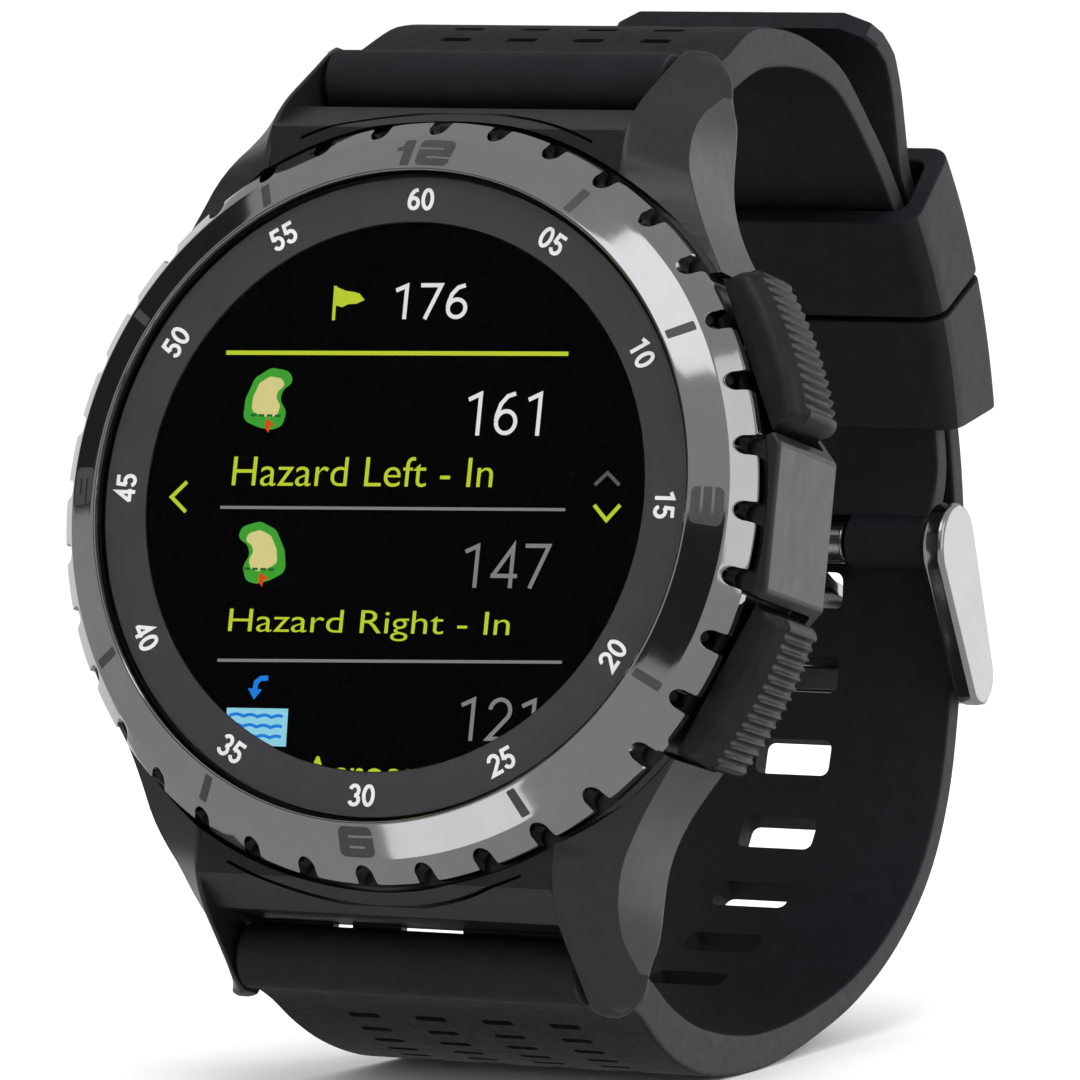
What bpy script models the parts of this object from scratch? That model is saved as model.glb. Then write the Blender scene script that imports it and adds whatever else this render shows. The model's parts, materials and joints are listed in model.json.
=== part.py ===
"""Golf GPS watch: round case with a notched turning bezel, two side pushers and a buckled rubber strap.

The watch is drawn in its own frame, in millimetres: X towards 3 o'clock, Y into the case from the dial,
Z towards 12 o'clock, with the centre of the dial at the origin. An empty then leans it back and sets it
down on its strap, so that the lowest point of the model is at Z = 0.
"""

import math

import bmesh
import bpy
import numpy as np
from mathutils import Matrix, Vector

MM = 0.001
GAP = 0.3  # clearance between pieces that touch on the real watch

# --- Driving dimensions, millimetres ---
LEAN_DEG = 12.6  # how far the dial leans back when the watch stands on its strap
DISPLAY_R = 17.5
GLASS_R = 20.45
GLASS_FRONT = -0.45
GLASS_T = 0.6
RING_T = 0.6
BEZEL_IN_R = 20.75
BEZEL_OUT_R = 24.4
BEZEL_BACK = 3.3
NOTCHES = 36
NOTCH_W = 1.25
CASE_R = 24.7
CASE_FRONT = 3.75
NECK_R, NECK_FRONT = 21.6, 1.35  # the collar that the bezel turns on
CASE_BACK = 12.5
CAVITY_R = 16.6
BACK_PLATE_R = 21.8
LUG_IN = 12.4  # half the gap between a pair of lugs
CASE_END_Z = 26.0
BAR_Y, BAR_Z = 10.5, 28.5  # spring bar centres, at +Z and -Z
GUARD_X = 25.3
PUSHER_DEG = 25.0  # pusher centre lines, above and below 3 o'clock
PUSHER_HALF_DEG = 11.5
PUSHER_R = 27.0
PUSHER_BACK = 24.2  # flat inner face of a pusher, from the case centre
PUSHER_Y = 7.4
PUSHER_RIBS = 15
STEM_R = 0.9
POCKET_FLOOR = 23.3
KEEPER_C = (28.0, 1.5)  # centre of the strap's arc under the keepers (Y, Z)
KEEPER_IN_R, KEEPER_OUT_R = 31.2, 39.0
KEEPER_WALL = 1.4
KEEPER_HALF = 13.4
KEEPER_DEG = (23.6, 38.0, 38.6, 53.0)  # angles of the two keepers on that arc
SHORT_ARC_R = 33.8
PIN = (59.0, 6.6)  # buckle bar (Y, Z)
FRONT_BAR = (67.0, -2.0)  # buckle frame's front bar (Y, Z)
STRAP_END_HALF = 12.0  # strap between the lugs
SLOT_PITCH, SLOT_H, SLOT_W = 5.9, 2.5, 5.5
SLOT_TANG_Z = 4.0  # height at which the tang crosses the long strap
SLOTS_BELOW, SLOTS_ABOVE = 6, 2

ROUND = 72  # segments of the large turned pieces
THIN = 48  # segments of rings and discs inside the case
FINE = 20  # segments of the small turned pieces


# --- Materials ---
def material(name, colour, roughness, metallic):
    found = bpy.data.materials.get(name)
    if found:
        return found
    made = bpy.data.materials.new(name)
    made.use_nodes = True
    shader = made.node_tree.nodes["Principled BSDF"]
    shader.inputs["Base Color"].default_value = (*colour, 1.0)
    shader.inputs["Roughness"].default_value = roughness
    shader.inputs["Metallic"].default_value = metallic
    return made


def make_materials():
    return {
        "case": material("case_black_satin", (0.045, 0.045, 0.05), 0.35, 0.9),
        "bezel": material("bezel_gunmetal", (0.22, 0.22, 0.24), 0.22, 1.0),
        "steel": material("polished_steel", (0.72, 0.71, 0.69), 0.18, 1.0),
        "spring": material("spring_steel", (0.55, 0.55, 0.56), 0.3, 1.0),
        "glass": material("dark_glass", (0.02, 0.02, 0.025), 0.05, 0.0),
        "ring": material("ring_dark_grey", (0.06, 0.06, 0.065), 0.5, 0.0),
        "display": material("display_black", (0.005, 0.005, 0.006), 0.2, 0.0),
        "rubber": material("strap_rubber", (0.02, 0.02, 0.023), 0.6, 0.0),
        "seal": material("seal_rubber", (0.03, 0.03, 0.03), 0.7, 0.0),
        "plastic": material("pusher_plastic", (0.03, 0.03, 0.033), 0.45, 0.0),
        "frame": material("frame_plastic", (0.12, 0.12, 0.13), 0.6, 0.0),
        "board": material("board_green", (0.02, 0.12, 0.06), 0.55, 0.0),
        "cell": material("battery_foil", (0.45, 0.46, 0.48), 0.4, 0.8),
        "ceramic": material("antenna_ceramic", (0.75, 0.7, 0.6), 0.5, 0.0),
        "gold": material("contact_gold", (0.8, 0.6, 0.25), 0.25, 1.0),
    }


# --- Mesh helpers, all in millimetres ---
def finish_mesh(bm, name, finish, smooth_deg=30):
    bmesh.ops.scale(bm, vec=(MM, MM, MM), verts=bm.verts)
    bmesh.ops.recalc_face_normals(bm, faces=bm.faces)
    mesh = bpy.data.meshes.new(name)
    bm.to_mesh(mesh)
    bm.free()
    if smooth_deg:
        mesh.shade_smooth()
        mesh.set_sharp_from_angle(angle=math.radians(smooth_deg))
    mesh.materials.append(finish)
    thing = bpy.data.objects.new(name, mesh)
    bpy.context.scene.collection.objects.link(thing)
    return thing


def turned(name, profile, finish, segments=ROUND):
    """A closed profile of (radius, y) turned once about the Y axis."""
    bm = bmesh.new()
    verts = [bm.verts.new((r, y, 0)) for r, y in profile]
    edges = [bm.edges.new((a, b)) for a, b in zip(verts, verts[1:] + verts[:1])]
    bmesh.ops.spin(bm, geom=verts + edges, axis=(0, 1, 0), cent=(0, 0, 0),
                   angle=2 * math.pi, steps=segments, use_merge=True)
    bmesh.ops.remove_doubles(bm, verts=bm.verts, dist=1e-4)
    on_axis = [edge for edge in bm.edges if not edge.link_faces]
    bmesh.ops.delete(bm, geom=on_axis, context="EDGES")
    return finish_mesh(bm, name, finish)


def ring(name, inner, outer, front, back, finish, segments=ROUND):
    return turned(name, [(inner, front), (outer, front), (outer, back), (inner, back)], finish, segments)


def rod(name, radius, start, end, finish, segments=FINE):
    """A round bar from start to end."""
    start = Vector(start)
    along = Vector(end) - start
    turn = along.to_track_quat("Z", "Y").to_matrix().to_4x4()
    place = Matrix.Translation(start + along / 2) @ turn
    bm = bmesh.new()
    bmesh.ops.create_cone(bm, cap_ends=True, segments=segments, radius1=radius, radius2=radius,
                          depth=along.length, matrix=place)
    return finish_mesh(bm, name, finish)


def prism(name, outline, axis, low, high, finish, smooth_deg=0):
    """An outline pulled along an axis: outlines are (x, z) along y, (y, z) along x, (x, y) along z."""
    spots = {"y": lambda a, b: (a, low, b), "x": lambda a, b: (low, a, b), "z": lambda a, b: (a, b, low)}
    move = {"y": (0, high - low, 0), "x": (high - low, 0, 0), "z": (0, 0, high - low)}
    bm = bmesh.new()
    face = bm.faces.new([bm.verts.new(spots[axis](a, b)) for a, b in outline])
    pulled = bmesh.ops.extrude_face_region(bm, geom=[face])["geom"]
    bmesh.ops.translate(bm, vec=move[axis], verts=[v for v in pulled if isinstance(v, bmesh.types.BMVert)])
    return finish_mesh(bm, name, finish, smooth_deg)


def block(name, low, high, finish, bevel=0.0):
    bm = bmesh.new()
    bmesh.ops.create_cube(bm, size=1.0)
    size = [b - a for a, b in zip(low, high)]
    bmesh.ops.scale(bm, vec=size, verts=bm.verts)
    bmesh.ops.translate(bm, vec=[(a + b) / 2 for a, b in zip(low, high)], verts=bm.verts)
    if bevel:
        bmesh.ops.bevel(bm, geom=bm.edges[:], offset=bevel, segments=2, affect="EDGES", profile=0.5)
    return finish_mesh(bm, name, finish, 0)


def combine(target, other, operation):
    """Joins other to target, or cuts it away, and drops other."""
    step = target.modifiers.new(operation, "BOOLEAN")
    step.object = other
    step.operation = operation
    step.solver = "EXACT"
    graph = bpy.context.evaluated_depsgraph_get()
    mesh = bpy.data.meshes.new_from_object(target.evaluated_get(graph))
    target.modifiers.clear()
    target.data = weld(mesh)
    bpy.data.objects.remove(other)
    return target


def weld(mesh):
    """Merges the near-coincident corners that a boolean can leave."""
    bm = bmesh.new()
    bm.from_mesh(mesh)
    bmesh.ops.remove_doubles(bm, verts=bm.verts, dist=0.003 * MM)
    bmesh.ops.dissolve_degenerate(bm, edges=bm.edges, dist=0.001 * MM)
    bm.to_mesh(mesh)
    bm.free()
    return mesh


def union(target, other):
    return combine(target, other, "UNION")


def cut(target, other):
    return combine(target, other, "DIFFERENCE")


def common(target, other):
    return combine(target, other, "INTERSECT")


def turn_about_y(thing, degrees):
    """Turns a mesh about the dial's axis; positive goes from 3 towards 12 o'clock."""
    thing.data.transform(Matrix.Rotation(-math.radians(degrees), 4, "Y"))
    return thing


def arc(centre, radius, first_deg, last_deg, count):
    angles = np.radians(np.linspace(first_deg, last_deg, count))
    return [(centre[0] + radius * math.cos(a), centre[1] + radius * math.sin(a)) for a in angles]


def mirrored_outline(right_side):
    """A right-hand outline, listed from the bottom up, closed by its mirror image."""
    return right_side + [(-a, b) for a, b in reversed(right_side)]


# --- Glass, dial and bezel ---
def make_glass(mats):
    edge = 0.12
    back = GLASS_FRONT + GLASS_T
    profile = [(0.0, GLASS_FRONT), (GLASS_R - edge, GLASS_FRONT), (GLASS_R, GLASS_FRONT + edge),
               (GLASS_R, back), (0.0, back)]
    return turned("front_glass", profile, mats["glass"])


def make_dial(mats):
    front = GLASS_FRONT + GLASS_T + GAP
    ring("minute_ring", DISPLAY_R + GAP, 20.4, front, front + RING_T, mats["ring"])
    turned("display_module", [(0.0, front), (DISPLAY_R, front), (DISPLAY_R, 1.75), (0.0, 1.75)],
           mats["display"], THIN)
    ring("glass_gasket", 18.3, 20.1, 1.35, 1.75, mats["seal"], THIN)


def notch_cutters(mats):
    """The U-shaped notches of the grip ring, as one mesh of separate prisms."""
    centre_r = 23.96
    half = NOTCH_W / 2
    outline = arc((centre_r, 0), half, 90, 270, 7)
    outline = [(25.2, half)] + outline + [(25.2, -half)]
    bm = bmesh.new()
    for index in range(NOTCHES):
        turn = Matrix.Rotation(2 * math.pi * index / NOTCHES, 4, "Y")
        front = [bm.verts.new(turn @ Vector((x, 0.2, z))) for x, z in outline]
        back = [bm.verts.new(turn @ Vector((x, 4.0, z))) for x, z in outline]
        bm.faces.new(front)
        bm.faces.new(back[::-1])
        for a, b, c, d in zip(front, front[1:] + front[:1], back[1:] + back[:1], back):
            bm.faces.new((b, a, d, c))
    return finish_mesh(bm, "notch_cutters", mats["bezel"])


def make_bezel(mats):
    profile = [(BEZEL_IN_R, 1.0), (BEZEL_IN_R, -0.25), (20.9, -0.35), (23.1, 0.95), (24.3, 2.45),
               (BEZEL_OUT_R, 2.7), (BEZEL_OUT_R, BEZEL_BACK), (22.9, BEZEL_BACK), (22.9, 2.0), (21.7, 1.0)]
    bezel = turned("bezel", profile, mats["bezel"])
    cut(bezel, notch_cutters(mats))
    ring("bezel_gasket", 21.95, 22.55, 2.3, 2.8, mats["seal"], THIN)
    ring("bezel_click_ring", 21.95, 22.55, 3.15, 3.45, mats["spring"], THIN)
    return bezel


# --- Case ---
LUG_SECTIONS = [
    # z, front face at the gap, outer front edge (x, y), outer back edge (x, y)
    (12.0, 2.6, (21.4, 3.4), (21.4, 12.1)),
    (16.0, 2.6, (18.7, 3.4), (18.7, 12.1)),
    (18.5, 2.6, (17.5, 3.7), (18.0, 12.1)),
    (20.7, 2.6, (16.6, 4.3), (17.45, 12.1)),
    (22.0, 2.6, (16.1, 5.0), (17.2, 12.2)),
    (23.4, 2.6, (15.5, 6.2), (17.05, 12.5)),
    (25.0, 2.8, (14.8, 8.0), (16.8, 13.0)),
    (26.5, 4.0, (14.5, 10.0), (16.2, 13.8)),
    (28.0, 5.9, (14.3, 11.9), (15.6, 14.6)),
    (29.5, 7.9, (14.3, 12.8), (15.1, 14.5)),
    (30.5, 9.3, (14.3, 12.3), (14.6, 13.8)),
    (31.0, 11.0, (13.8, 12.0), (13.9, 12.6)),
]


def lug_end(mats, side):
    """The block that carries one pair of lugs; side is +1 at 12 o'clock and -1 at 6."""
    bm = bmesh.new()
    loops = []
    for z, front, edge, back in LUG_SECTIONS:
        half = [(LUG_IN, front), edge, back, (LUG_IN, min(back[1], 13.2))]
        outline = half + [(-x, y) for x, y in reversed(half)]
        loops.append([bm.verts.new((x, y, side * z)) for x, y in outline])
    for one, two in zip(loops, loops[1:]):
        for k in range(8):
            bm.faces.new((one[k], one[(k + 1) % 8], two[(k + 1) % 8], two[k]))
    bm.faces.new(loops[0][::-1])
    bm.faces.new(loops[-1])
    bmesh.ops.triangulate(bm, faces=bm.faces)
    shape = finish_mesh(bm, "lug_end", mats["case"], 0)
    gap = [(-1.0, 22.0), (1.0, 23.2), (3.2, 24.3), (6.0, CASE_END_Z), (17.0, CASE_END_Z), (17.0, 33.0), (-1.0, 33.0)]
    return cut(shape, prism("lug_gap", [(y, side * z) for y, z in gap], "x", -LUG_IN, LUG_IN, mats["case"]))


def crown_guard(mats):
    plan = [(20.0, -6.4), (23.9, -6.4), (GUARD_X, -4.8), (GUARD_X, 4.6), (23.9, 6.2), (20.0, 6.2)]
    guard = prism("guard", plan, "y", 3.2, 12.0, mats["case"])
    corner = [(24.9, 2.0), (26.5, 2.0), (26.5, 5.2)]
    cut(guard, prism("guard_edge", corner, "z", -8.0, 8.0, mats["case"]))
    return guard


def pusher_pocket(mats):
    """Space behind and around one pusher, drawn at 3 o'clock."""
    half = PUSHER_R * math.sin(math.radians(PUSHER_HALF_DEG)) + 0.35
    pocket = block("pocket", (POCKET_FLOOR, 2.0, -half), (31.0, 11.4, half), mats["case"])
    union(pocket, rod("spring_seat", 2.2, (20.5, PUSHER_Y, 0), (24.0, PUSHER_Y, 0), mats["case"]))
    union(pocket, rod("stem_hole", STEM_R + GAP, (15.0, PUSHER_Y, 0), (21.0, PUSHER_Y, 0), mats["case"]))
    union(pocket, rod("seal_groove", 2.0, (18.0, PUSHER_Y, 0), (19.3, PUSHER_Y, 0), mats["case"]))
    return pocket


def make_case(mats):
    blank = [(0.0, 1.0), (CASE_R, 1.0), (CASE_R, 11.3), (23.5, CASE_BACK), (0.0, CASE_BACK)]
    case = turned("case_body", blank, mats["case"])
    union(case, lug_end(mats, 1))
    union(case, lug_end(mats, -1))
    union(case, crown_guard(mats))
    room_r = BEZEL_OUT_R + 0.35
    bezel_room = [(0.0, -3.0), (room_r, -3.0), (room_r, CASE_FRONT + 0.3), (room_r - 0.3, CASE_FRONT),
                  (NECK_R, CASE_FRONT), (NECK_R, NECK_FRONT), (0.0, NECK_FRONT)]
    cut(case, turned("bezel_room", bezel_room, mats["case"]))
    recess_r = BACK_PLATE_R + GAP
    cavity = [(0.0, -1.0), (20.4, -1.0), (20.4, 2.05), (CAVITY_R, 2.05), (CAVITY_R, 11.0), (17.1, 11.0),
              (17.1, 10.2), (18.3, 10.2), (18.3, 11.0), (recess_r, 11.0), (recess_r, 16.0), (0.0, 16.0)]
    cut(case, turned("cavity", cavity, mats["case"]))
    for angle in (PUSHER_DEG, -PUSHER_DEG):
        cut(case, turn_about_y(pusher_pocket(mats), angle))
    for side in (1, -1):
        for hand in (1, -1):
            hole = rod("bar_hole", 0.7, (hand * 11.5, BAR_Y, side * BAR_Z), (hand * 14.2, BAR_Y, side * BAR_Z),
                       mats["case"], 16)
            cut(case, hole)
    for x, z in screw_spots():
        cut(case, rod("screw_hole", 0.8, (x, 8.2, z), (x, 13.0, z), mats["case"], 16))
    return case


# --- Case back ---
def screw_spots():
    return arc((0, 0), 20.2, 45, 315, 4)


def contact_spots():
    return [(x, -8.5) for x in (-3.9, -1.3, 1.3, 3.9)]


def make_back(mats):
    profile = [(0.0, 11.4), (BACK_PLATE_R, 11.4), (BACK_PLATE_R, 12.9), (21.4, 13.3), (15.0, 13.3),
               (14.4, 13.9), (0.0, 13.9)]
    plate = turned("case_back", profile, mats["case"], THIN)
    for x, z in screw_spots():
        cut(plate, rod("screw_way", 0.8, (x, 10.0, z), (x, 14.0, z), mats["case"], 16))
        cut(plate, rod("screw_sink", 1.25, (x, 12.3, z), (x, 14.0, z), mats["case"], 16))
    for x, z in contact_spots():
        cut(plate, rod("contact_way", 0.95, (x, 10.0, z), (x, 15.0, z), mats["case"], 16))
    ring("back_gasket", 17.4, 18.0, 10.5, 11.1, mats["seal"], THIN)
    for number, (x, z) in enumerate(screw_spots(), 1):
        screw = rod(f"back_screw_{number}", 0.5, (x, 8.5, z), (x, 12.8, z), mats["steel"], 12)
        union(screw, rod("head", 0.95, (x, 12.6, z), (x, 13.1, z), mats["steel"], 18))
        cut(screw, block("drive", (x - 0.7, 12.85, z - 0.14), (x + 0.7, 13.5, z + 0.14), mats["steel"]))
    for number, (x, z) in enumerate(contact_spots(), 1):
        rod(f"charging_contact_{number}", 0.65, (x, 11.0, z), (x, 13.7, z), mats["gold"], 16)


# --- Inside the case ---
def make_inside(mats):
    ring("inner_frame", 14.8, 16.3, 2.4, 5.0, mats["frame"], THIN)
    turned("main_board", [(0.0, 5.3), (15.0, 5.3), (15.0, 6.1), (0.0, 6.1)], mats["board"], THIN)
    block("gps_antenna", (-6.0, 2.7, 4.0), (6.0, 5.0, 12.0), mats["ceramic"])
    block("gps_receiver", (-9.5, 3.5, -8.0), (0.0, 5.0, 1.0), mats["cell"])
    block("memory_and_radio", (2.0, 3.8, -8.0), (8.0, 5.0, -2.0), mats["cell"])
    block("battery", (-13.0, 6.4, -9.0), (7.0, 10.3, 9.0), mats["cell"], 0.5)
    motor = [(0.0, 6.4), (3.0, 6.4), (3.0, 9.2), (0.0, 9.2)]
    turned("vibration_motor", motor, mats["steel"], FINE).data.transform(Matrix.Translation((11.4 * MM, 0, 0)))


# --- Pushers ---
def coil(name, centre_r, wire_r, start, end, turns, finish):
    """A compression spring along X with flattened sides, from its centre line's helix."""
    per_turn, sides = 10, 5
    count = int(turns * per_turn) + 1
    bm = bmesh.new()
    rings = []
    for index in range(count):
        t = index / (count - 1)
        angle = 2 * math.pi * turns * t
        out = Vector((0, math.cos(angle), math.sin(angle)))
        spot = Vector((start + (end - start) * t, 0, 0)) + out * centre_r
        rings.append([bm.verts.new(spot + wire_r * (out * math.cos(b) + Vector((1, 0, 0)) * math.sin(b)))
                      for b in (2 * math.pi * k / sides for k in range(sides))])
    for one, two in zip(rings, rings[1:]):
        for k in range(sides):
            bm.faces.new((one[k], one[(k + 1) % sides], two[(k + 1) % sides], two[k]))
    bm.faces.new(rings[0][::-1])
    bm.faces.new(rings[-1])
    bmesh.ops.translate(bm, vec=(0, PUSHER_Y, 0), verts=bm.verts)
    return finish_mesh(bm, name, finish, 60)


def pusher_cap(name, mats):
    """Cap and stem in one piece, drawn at 3 o'clock: a curved bar with ribs across its outer face."""
    half = math.radians(PUSHER_HALF_DEG)
    steps = PUSHER_RIBS * 4
    rib_depth = 0.2
    front, back = 4.3, 10.5
    outline = [(PUSHER_BACK, -PUSHER_R * math.sin(half))]
    for index in range(steps + 1):
        angle = -half + 2 * half * index / steps
        radius = PUSHER_R - (rib_depth if index % 4 in (1, 2) and 2 < index < steps - 2 else 0.0)
        outline.append((radius * math.cos(angle), radius * math.sin(angle)))
    outline.append((PUSHER_BACK, PUSHER_R * math.sin(half)))
    cap = prism(name, outline, "y", front, back, mats["plastic"])
    lip = arc((0, 0), PUSHER_R + 0.02, -PUSHER_HALF_DEG - 1, PUSHER_HALF_DEG + 1, 12)
    shy = [(22.0, lip[0][1])] + lip + [(22.0, lip[-1][1])]
    smooth = prism("smooth_front", [(a - 0.75 if a > 23 else a, b) for a, b in shy], "y", 3.9, 5.4, mats["plastic"])
    blank = block("front_blank", (22.0, 3.5, -8.0), (29.0, 5.4, 8.0), mats["plastic"])
    cut(blank, smooth)
    cut(cap, blank)
    union(cap, rod("stem", STEM_R, (15.2, PUSHER_Y, 0), (PUSHER_BACK + 1.0, PUSHER_Y, 0), mats["plastic"]))
    groove = rod("groove", 1.6, (15.8, PUSHER_Y, 0), (16.4, PUSHER_Y, 0), mats["plastic"])
    cut(groove, rod("groove_core", 0.6, (15.0, PUSHER_Y, 0), (17.0, PUSHER_Y, 0), mats["plastic"]))
    cut(cap, groove)
    return cap


def washer(name, inner, outer, start, end, finish, segments=FINE):
    """A ring about a pusher's stem."""
    made = rod(name, outer, (start, PUSHER_Y, 0), (end, PUSHER_Y, 0), finish, segments)
    return cut(made, rod("bore", inner, (start - 1, PUSHER_Y, 0), (end + 1, PUSHER_Y, 0), finish, segments))


def make_pushers(mats):
    for where, angle in (("upper", PUSHER_DEG), ("lower", -PUSHER_DEG)):
        turn_about_y(pusher_cap(f"pusher_{where}", mats), angle)
        turn_about_y(coil(f"pusher_spring_{where}", 1.55, 0.22, 20.85, 23.85, 4, mats["spring"]), angle)
        turn_about_y(washer(f"pusher_seal_{where}", 1.15, 1.7, 18.25, 19.05, mats["seal"]), angle)
        turn_about_y(washer(f"pusher_clip_{where}", 0.75, 1.8, 15.95, 16.25, mats["spring"]), angle)
        switch = block(f"pusher_switch_{where}", (12.2, 6.45, -1.7), (14.3, 8.6, 1.7), mats["frame"], 0.15)
        turn_about_y(switch, angle)


# --- Spring bars ---
def make_spring_bars(mats):
    for where, side in (("upper", 1), ("lower", -1)):
        z = side * BAR_Z
        tube = rod(f"bar_tube_{where}", 0.85, (-12.0, BAR_Y, z), (12.0, BAR_Y, z), mats["steel"], 20)
        for hand, end in (("left", -1), ("right", 1)):
            cut(tube, rod("bar_bore", 0.6, (end * 8.5, BAR_Y, z), (end * 13.0, BAR_Y, z), mats["steel"], 16))
            rod(f"bar_tip_{where}_{hand}", 0.42, (end * 10.2, BAR_Y, z), (end * 13.7, BAR_Y, z),
                mats["steel"], 16)


# --- Strap ---
def smooth_path(points, step):
    """A centripetal spline through the points, sampled about every step millimetres."""
    spots = [Vector(p) for p in points]
    spots = [2 * spots[0] - spots[1]] + spots + [2 * spots[-1] - spots[-2]]
    path = []
    for a, b, c, d in zip(spots, spots[1:], spots[2:], spots[3:]):
        knots = [0.0]
        for one, two in ((a, b), (b, c), (c, d)):
            knots.append(knots[-1] + math.sqrt((two - one).length))
        count = max(2, round((c - b).length / step))
        for index in range(count):
            t = knots[1] + (knots[2] - knots[1]) * index / count
            path.append(centripetal(a, b, c, d, knots, t))
    path.append(spots[-2])
    return path


def centripetal(a, b, c, d, knots, t):
    def mix(p, q, i, j):
        return p * ((knots[j] - t) / (knots[j] - knots[i])) + q * ((t - knots[i]) / (knots[j] - knots[i]))
    ab, bc, cd = mix(a, b, 0, 1), mix(b, c, 1, 2), mix(c, d, 2, 3)
    return mix(mix(ab, bc, 0, 2), mix(bc, cd, 1, 3), 1, 2)


def lengths_along(path):
    steps = [0.0] + [(b - a).length for a, b in zip(path, path[1:])]
    return np.cumsum(steps)


def across(path, index):
    """The unit normal of a (Y, Z) path, to the left of its direction."""
    before, after = path[max(index - 1, 0)], path[min(index + 1, len(path) - 1)]
    along = (after - before).normalized()
    return Vector((-along.y, along.x))


def strap_band(name, path, half_widths, thicknesses, mats):
    """A band of eight-sided section swept along a (Y, Z) path; the tables are (length, value) pairs."""
    run = lengths_along(path)
    wide = np.interp(run, *zip(*half_widths))
    thick = np.interp(run, *zip(*thicknesses))
    bm = bmesh.new()
    rings = []
    for index, spot in enumerate(path):
        normal = across(path, index)
        w, t = wide[index], thick[index] / 2
        edge = 0.35 * min(1.0, t)
        section = [(w, t - edge), (w - edge, t), (edge - w, t), (-w, t - edge),
                   (-w, edge - t), (edge - w, -t), (w - edge, -t), (w, edge - t)]
        rings.append([bm.verts.new((x, *(spot + normal * n))) for x, n in section])
    for one, two in zip(rings, rings[1:]):
        for k in range(8):
            bm.faces.new((one[k], one[(k + 1) % 8], two[(k + 1) % 8], two[k]))
    bm.faces.new(rings[0][::-1])
    bm.faces.new(rings[-1])
    return finish_mesh(bm, name, mats["rubber"])


def strap_eye(strap, side, mats):
    """The tube at the strap's end that holds the spring bar."""
    z = side * BAR_Z
    half = STRAP_END_HALF
    union(strap, rod("eye", 2.1, (-half, BAR_Y, z), (half, BAR_Y, z), mats["rubber"], 28))
    cut(strap, rod("eye_bore", 1.15, (-20, BAR_Y, z), (20, BAR_Y, z), mats["rubber"], 20))


def long_path():
    tail = arc(KEEPER_C, 35.85, 24, 41, 4)
    points = [(BAR_Y, -BAR_Z), (13.4, -28.75), (16.4, -29.3), (20.0, -30.5), (24.0, -31.3), (28.5, -31.5),
              (36.5, -30.6), (45.0, -28.1), (53.0, -24.4), (59.0, -19.9), (63.0, -14.9), (64.9, -9.6),
              (65.3, -4.0), (65.0, 1.5), (64.1, 7.0), (62.6, 12.0)] + tail
    points += [(52.6, 27.8), (50.0, 30.6), (48.9, 33.3), (47.8, 36.0), (46.3, 38.2), (44.3, 39.8)]
    return smooth_path(points, 2.1)


def short_path():
    points = [(BAR_Y, BAR_Z), (13.2, 29.1), (15.8, 30.4), (20.0, 32.7), (24.3, 33.8), (30.0, 34.5)]
    points += arc(KEEPER_C, SHORT_ARC_R, 76, 17, 9)
    points.append(PIN)
    return smooth_path(points, 2.1)


def slot_cutters(path, mats):
    """Boxes for the buckle slots, spaced along the strap from the one that the tang goes through."""
    run = lengths_along(path)
    start = next(i for i, spot in enumerate(path) if spot.x > 60 and spot.y > SLOT_TANG_Z)
    cutters = []
    for step in range(-SLOTS_BELOW, SLOTS_ABOVE + 1):
        at = run[start - 1] + (run[start] - run[start - 1]) * (
            (SLOT_TANG_Z - path[start - 1].y) / (path[start].y - path[start - 1].y)) + step * SLOT_PITCH
        index = int(np.searchsorted(run, at))
        share = (at - run[index - 1]) / (run[index] - run[index - 1])
        spot = path[index - 1].lerp(path[index], share)
        along = (path[index] - path[index - 1]).normalized()
        tilt = math.atan2(along.y, along.x)
        bm = bmesh.new()
        bmesh.ops.create_cube(bm, size=1.0)
        bmesh.ops.scale(bm, vec=(SLOT_W, SLOT_H, 5.0), verts=bm.verts)
        upright = [e for e in bm.edges if abs(e.verts[0].co.z - e.verts[1].co.z) > 1]
        bmesh.ops.bevel(bm, geom=upright, offset=0.5, segments=2, affect="EDGES", profile=0.5)
        place = Matrix.Translation((0, spot.x, spot.y)) @ Matrix.Rotation(tilt, 4, "X")
        bmesh.ops.transform(bm, matrix=place, verts=bm.verts)
        cutters.append(finish_mesh(bm, "slot", mats["rubber"], 0))
    return cutters


def make_long_strap(mats):
    path = long_path()
    total = lengths_along(path)[-1]
    wide = [(0, STRAP_END_HALF), (3.1, STRAP_END_HALF), (3.7, 13.5), (20, 12.4), (38, 11.6), (60, 11.4),
            (80, 11.2), (total - 13, 11.0), (total - 2.5, 10.5), (total, 8.0)]
    thick = [(0, 3.0), (5, 2.7), (12, 3.0), (18, 3.0), (26, 2.5), (36, 2.0), (46, 1.7), (total, 1.6)]
    strap = strap_band("strap_long", path, wide, thick, mats)
    strap_eye(strap, -1, mats)
    for cutter in slot_cutters(path, mats):
        cut(strap, cutter)
    return strap


def make_short_strap(mats):
    path = short_path()
    total = lengths_along(path)[-1]
    wide = [(0, STRAP_END_HALF), (3.1, STRAP_END_HALF), (3.7, 13.5), (15, 12.6), (26, 11.6), (34, 11.1),
            (total, 11.0)]
    thick = [(0, 3.0), (5, 2.4), (10, 2.9), (16, 2.5), (24, 1.9), (32, 1.6), (total, 1.6)]
    strap = strap_band("strap_short", path, wide, thick, mats)
    strap_eye(strap, 1, mats)
    y, z = PIN
    union(strap, rod("pin_eye", 1.9, (-11.0, y, z), (11.0, y, z), mats["rubber"], 28))
    cut(strap, rod("pin_bore", 1.0, (-20, y, z), (20, y, z), mats["rubber"], 20))
    cut(strap, block("tang_room", (-5.6, y - 4, z - 4), (5.6, y + 4, z + 2.6), mats["rubber"]))
    return strap


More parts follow.
